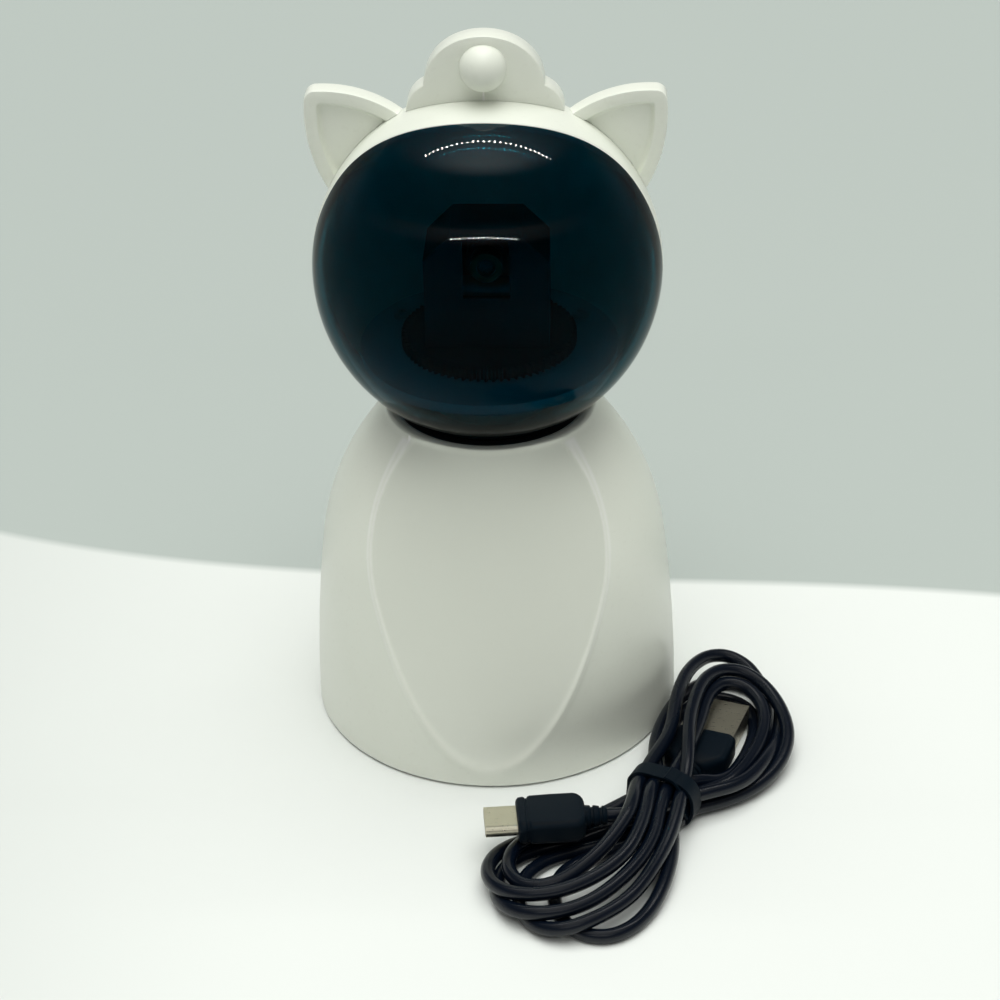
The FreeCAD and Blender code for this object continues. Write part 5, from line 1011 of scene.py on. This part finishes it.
# %% Crown
CROWN_BACK, CROWN_MIDDLE, BACK_INSET, FRONT_INSET = 5.0, (0, 136.0), 0.6, 0.3
CROWN_STEPS = [(BACK_INSET, share, CROWN_BACK) for share in (0.04, 0.3, 0.6, 0.85)]
CROWN_STEPS += [(inset, 1, depth) for inset, depth in (
    (BACK_INSET, CROWN_BACK), (0.2, CROWN_BACK - 0.06), (0.0, CROWN_BACK - 0.4), (0.0, 0.45), (0.03, 0.22),
    (0.12, 0.06), (FRONT_INSET, 0.0))]
CROWN_STEPS += [(FRONT_INSET, share, 0.0) for share in (0.9, 0.75, 0.58, 0.4, 0.2, 0.04)]
crown_rings = [[(x, bent(x, depth), z) for x, z in shrunk(crown_outline(inset), CROWN_MIDDLE, share)]
               for inset, share, depth in CROWN_STEPS]
points, faces = joined_rings(crown_rings, cap_start=True, cap_end=True)
crown = new_piece("crown_plate", points, faces, "head", finishes["white_abs"], ["crown"])
cut_away(crown, *ball_cutter(BALL + 0.06))
print("crown:", len(crown.data.polygons), "faces")

# %% Button on the crown
BUTTON_RADIUS, BUTTON_RISE, BUTTON_SUNK = 4.7, 148.0, 0.6
profile = [(BUTTON_SUNK, 0.02), (BUTTON_SUNK, BUTTON_RADIUS)]
profile += [(-0.3 - BUTTON_RADIUS * math.sin(angle), BUTTON_RADIUS * math.cos(angle))
            for angle in np.linspace(0, math.pi / 2 - 0.02, 16)]
points, faces = joined_rings(turned(profile, 56), cap_start=True, cap_end=True)
pearl_place = Matrix.Translation(Vector((0, 0, BUTTON_RISE)) * MM) @ Matrix.Rotation(math.pi / 2, 4, "Z")
pearl = new_piece("crown_button", points, faces, "head", finishes["white_abs"], ["crown_pearl"],
                  pearl_place, 50)
print("crown button:", len(pearl.data.polygons), "faces")

# %% [markdown]
# ## Plugs and tie
# A plug's grip is a soft black block, a little wider at the collar. A box with bevelled edges would do,
# but its corners would all be the same. Rings of rounded rectangles along the cable let each end have
# its own shape. The strain relief is turned, with grooves that let it bend. The metal shells come from
# the frame, because their standard sizes are right there.


# %% Plug grips
def rounded_rectangle(half_width, half_height, corner, steps=7):
    """Points of a rectangle with round corners, going round once."""
    points = []
    for quarter, (side, over) in enumerate(((1, 1), (-1, 1), (-1, -1), (1, -1))):
        for step in range(steps + 1):
            angle = math.pi / 2 * (quarter + step / steps)
            points.append((side * (half_width - corner) + corner * math.cos(angle),
                           over * (half_height - corner) + corner * math.sin(angle)))
    return points


def grip(name, stations, plug, node):
    """A plug's grip through stations of place, width, height and corner radius."""
    rings = [[(place, y, z) for y, z in rounded_rectangle(width / 2, height / 2, corner)]
             for place, width, height, corner in stations]
    points, faces = joined_rings(rings, cap_start=True, cap_end=True)
    return new_piece(name, points, faces, "base", plug_finish, [node], lying_at(plug), 50)


SMALL_STATIONS = [(0.0, 9.4, 4.3, 1.9), (0.15, 10.1, 5.0, 2.1), (0.5, 10.7, 5.5, 2.0), (1.5, 10.8, 5.6, 1.9),
                  (1.8, 10.5, 5.4, 1.8), (1.95, 10.1, 5.0, 1.7), (2.3, 10.1, 5.0, 1.7), (2.5, 10.5, 5.4, 1.5),
                  (2.9, 10.7, 5.55, 1.4), (7.0, 10.8, 5.6, 1.3), (11.9, 10.75, 5.6, 1.3),
                  (12.7, 10.2, 5.55, 1.4), (13.4, 9.1, 5.4, 1.6), (13.8, 8.0, 5.1, 1.8),
                  (14.0, 6.8, 4.5, 1.8)]
LARGE_STATIONS = [(0.0, 12.2, 5.0, 1.6), (0.2, 13.0, 5.8, 1.7), (0.7, 13.5, 6.3, 1.6), (2.0, 13.6, 6.4, 1.5),
                  (8.3, 13.6, 6.4, 1.5), (9.6, 11.8, 6.3, 1.6), (11.3, 8.0, 5.8, 2.0), (11.8, 7.0, 5.4, 2.2),
                  (12.0, 6.2, 4.9, 2.2)]
small_grip = grip("charging_grip", SMALL_STATIONS, SMALL_PLUG, "usb_c_overmould")
large_grip = grip("supply_grip", LARGE_STATIONS, LARGE_PLUG, "usb_a_overmould")
print("plug grips made")

# %% Strain reliefs
GROOVE_WIDTH, GROOVE_DEPTH, RIB_ROUND = 0.22, 0.38, 0.08


def relief(name, start, tail, root, end, grooves, plug, node):
    """A tapered sleeve on the cable with rounded grooves."""
    length = tail - start
    profile = [(start - 0.3, 0.05), (start - 0.3, root)]
    for groove in range(grooves):
        centre = start + length * (groove + 0.75) / (grooves + 0.4)
        radius = root + (end - root) * (centre - start) / length
        half = [(GROOVE_WIDTH + 2 * RIB_ROUND, radius), (GROOVE_WIDTH + RIB_ROUND, radius - RIB_ROUND),
                (GROOVE_WIDTH, radius - GROOVE_DEPTH)]
        profile += [(centre - off, size) for off, size in half]
        profile += [(centre + off, size) for off, size in half[::-1]]
    profile += [(tail - 0.15, end), (tail, end - 0.12), (tail, CORD / 2 + 0.02), (tail, 0.05)]
    points, faces = joined_rings(turned(profile, 36), cap_start=True, cap_end=True)
    return new_piece(name, points, faces, "base", plug_finish, [node], lying_at(plug), 45)


small_relief = relief("charging_relief", 14.0, SMALL_RELIEF_END, 2.4, 1.9, 2, SMALL_PLUG, "usb_c_relief")
large_relief = relief("supply_relief", 12.0, LARGE_RELIEF_END, 2.8, 1.95, 4, LARGE_PLUG, "usb_a_relief")
print("strain reliefs made")

# %% [markdown]
# The tie is a flat soft band round the waist of the bundle. A torus would float off the strands, so the
# band follows a drawn line round them. Its free end lies over the strands and runs out to a point.

# %% Band of the tie
BAND_LINE = [(-7.0, 6.4), (-6.7, 9.0), (-4.6, 10.9), (-1.0, 11.3), (2.6, 11.25), (5.6, 10.3), (7.3, 8.0),
             (7.6, 4.6), (6.4, 1.6), (3.6, 0.55), (0.0, 0.45), (-3.6, 0.55), (-6.2, 1.5), (-7.1, 3.8)]
BAND_SECTION = [(-2.0, 0.3), (-1.9, 0.4), (1.9, 0.4), (2.0, 0.3), (1.9, -0.4), (-1.9, -0.4)]
closed = np.array([(0.0, w, z) for w, z in BAND_LINE + BAND_LINE[:2]])
band_path = smooth_samples(np.vstack([closed[-3:-2], closed]), 0.7)[2:-4, 1:]
band_rings = []
for along, thick in BAND_SECTION:
    ring = []
    for index, (w, z) in enumerate(band_path):
        ahead = band_path[(index + 1) % len(band_path)] - band_path[index - 1]
        normal = np.array([ahead[1], -ahead[0]]) / max(np.linalg.norm(ahead), 0.001)
        place = TIE_SPOT + along * ALONG + (w - normal[0] * thick) * ASIDE
        ring.append((place[0], place[1], max(z - normal[1] * thick, 0.02)))
    band_rings.append(ring)
points, faces = joined_rings(band_rings, close_rows=True)
print("band points:", len(points))

# %% Free end of the tie
FREE_END = [(1.0, 11.9, 0.0, 2.0), (3.2, 11.4, -0.2, 2.0), (4.9, 9.6, -0.5, 2.0), (5.6, 7.2, -0.9, 2.0),
            (6.0, 5.0, -1.4, 1.7), (6.6, 2.8, -2.0, 0.15)]
end_line = smooth_samples(np.array([row[:3] for row in FREE_END]), 0.6)
shares = [np.linspace(0, 1, len(line)) for line in (end_line, FREE_END)]
halves = np.interp(*shares, [row[3] for row in FREE_END])
end_rings = []
for (w, z, along), half in zip(end_line, halves):
    section = [(-half, 0.0), (-half + 0.1, 0.35), (half - 0.1, 0.35), (half, 0.0), (half - 0.1, -0.35),
               (-half + 0.1, -0.35)]
    ring = []
    for across, lift in section:
        place = TIE_SPOT + (along + across) * ALONG + (w + lift * 0.8) * ASIDE
        ring.append((place[0], place[1], max(z + lift * 0.6, 0.1)))
    end_rings.append(ring)
end_points, end_faces = joined_rings(end_rings, cap_start=True, cap_end=True)
faces += [tuple(len(points) + index for index in face) for face in end_faces]
points += end_points
tie = new_piece("cable_band", points, faces, "base", plug_finish, ["cable_tie"], None, 40)
print("tie:", len(tie.data.polygons), "faces")

# %% Give the cable its finish
cable.data.materials.append(finishes["cable_black"])

# %% [markdown]
# ## Table and backdrop
# The toy stands on a white cloth that ends behind it, where a grey-green surface starts. A cloth and a
# wall could be two sheets, but an upright wall would hide the toy from behind. One flat floor carries
# both colours, with a soft curved border between them, so that the view from every side stays open.
# The cloth is painted a little darker on the left, as painted shade.

# %% Floor
CLOTH, CLOTH_SOFT, CLOTH_PAINTED_SHADE = (0.765, 0.785, 0.765), (0.745, 0.77, 0.75), (0.62, 0.645, 0.625)
BACKDROP, BACKDROP_SOFT = (0.405, 0.45, 0.43), (0.44, 0.48, 0.455)
BORDER_REACH, BORDER_CUBIC = 0.14, (-4.8, 0.37, -0.033, 0.0416)
bpy.ops.mesh.primitive_plane_add(size=6.0, location=(0, 0, 0))
floor_sheet = bpy.context.object
floor_sheet.name = "floor"
paper, tree, shader = start_material("cloth and backdrop")
shader["Roughness"].default_value = 0.85
shader["Specular IOR Level"].default_value = 0.2
spot = add(tree, "ShaderNodeSeparateXYZ", {0: add(tree, "ShaderNodeNewGeometry").outputs["Position"]}).outputs
across = add(tree, "ShaderNodeClamp", {0: spot["X"], 1: -BORDER_REACH, 2: BORDER_REACH}).outputs[0]
wave = 0.0
for share in BORDER_CUBIC:
    wave = math_node(tree, "MULTIPLY_ADD", across, wave, share)
behind = ramp(tree, math_node(tree, "SUBTRACT", spot["Y"], wave), -0.001, 0.002)
cloud = noise(tree, 6.0, 4.0)
# Painted shade: the cloth darkens towards the left.
lit = ramp(tree, spot["X"], -0.15, -0.03, ease="SMOOTHSTEP")
cloth = mixed(tree, lit, CLOTH_PAINTED_SHADE, mixed(tree, cloud, CLOTH, CLOTH_SOFT))
tree.links.new(mixed(tree, behind, cloth, mixed(tree, cloud, BACKDROP, BACKDROP_SOFT)), shader["Base Color"])
give_bump(tree, shader, noise(tree, 1500.0), 0.1, 0.0002)
floor_sheet.data.materials.append(paper)
print("floor ready")

# %% [markdown]
# ## Light
# The room has a pale ceiling with two long strips of small lamps. The strips are what gives the dome
# its dashed highlights, so they are rows of small lamps, too weak to light the toy. The light itself
# comes from the world, which is brightest straight up, as a ceiling is, and weak at its walls. Large
# soft lamps could do the same, but the dome would show their square shapes. The polished and
# shiny parts see a dimmer ceiling for the same reason. Near the horizon the world is a plain pale
# backdrop for the camera, the glass and the metal, without adding any light.

# %% Rows of ceiling lamps
LAMP_HEIGHT, LAMP_SIZE = 1.45, (0.015, 0.03)


def lamp_row(name, back, left, right, count, watts):
    """A straight row of small ceiling lamps that face down, with its place in shares of the height."""
    for index in range(count):
        light = bpy.data.lights.new(f"{name}_{index}", "AREA")
        light.shape = "RECTANGLE"
        light.size, light.size_y = LAMP_SIZE
        light.energy = watts / count
        light.color = (1.0, 1.0, 0.97)
        lamp = bpy.data.objects.new(light.name, light)
        x = left + (right - left) * index / (count - 1)
        lamp.location = (x * LAMP_HEIGHT, back * LAMP_HEIGHT, LAMP_HEIGHT)
        scene.collection.objects.link(lamp)


lamp_row("back_row", 0.36, -0.56, 0.60, 27, 3.4)
lamp_row("front_row", -1.0, -0.50, 0.50, 15, 3.0)

# %% Ceiling and backdrop
CEILING_LEAN, CEILING_FOCUS, CEILING_LIGHT, WALL_LIGHT = math.radians(-3.0), 7.0, 4.95, 0.04
SHINE_CUT, BACKDROP_PALE = 0.85, 0.45
scene.world = bpy.data.worlds.new("room")
scene.world.use_nodes = True
tree = scene.world.node_tree
room = tree.nodes["Background"].inputs
way = add(tree, "ShaderNodeSeparateXYZ", {0: add(tree, "ShaderNodeTexCoord").outputs["Generated"]}).outputs
lifted = math_node(tree, "MULTIPLY", way["Z"], math.cos(CEILING_LEAN))
overhead = math_node(tree, "MULTIPLY_ADD", way["Y"], math.sin(CEILING_LEAN), lifted, clamp=True)
lobe = math_node(tree, "POWER", overhead, CEILING_FOCUS)
rays = add(tree, "ShaderNodeLightPath").outputs
seen = math_node(tree, "MULTIPLY_ADD", rays["Is Glossy Ray"], -SHINE_CUT * CEILING_LIGHT, CEILING_LIGHT)
bright = math_node(tree, "MULTIPLY_ADD", lobe, seen, WALL_LIGHT)
shiny_or_glass = math_node(tree, "ADD", rays["Is Glossy Ray"], rays["Is Transmission Ray"])
looked_at = math_node(tree, "ADD", rays["Is Camera Ray"], shiny_or_glass, clamp=True)
horizon = ramp(tree, way["Z"], 0.45, 0.2, 0.0, BACKDROP_PALE)
tree.links.new(math_node(tree, "MULTIPLY_ADD", looked_at, horizon, bright), room["Strength"])
room["Color"].default_value = (0.985, 1.0, 0.965, 1)
print("ceiling light:", CEILING_LIGHT, "backdrop:", BACKDROP_PALE)
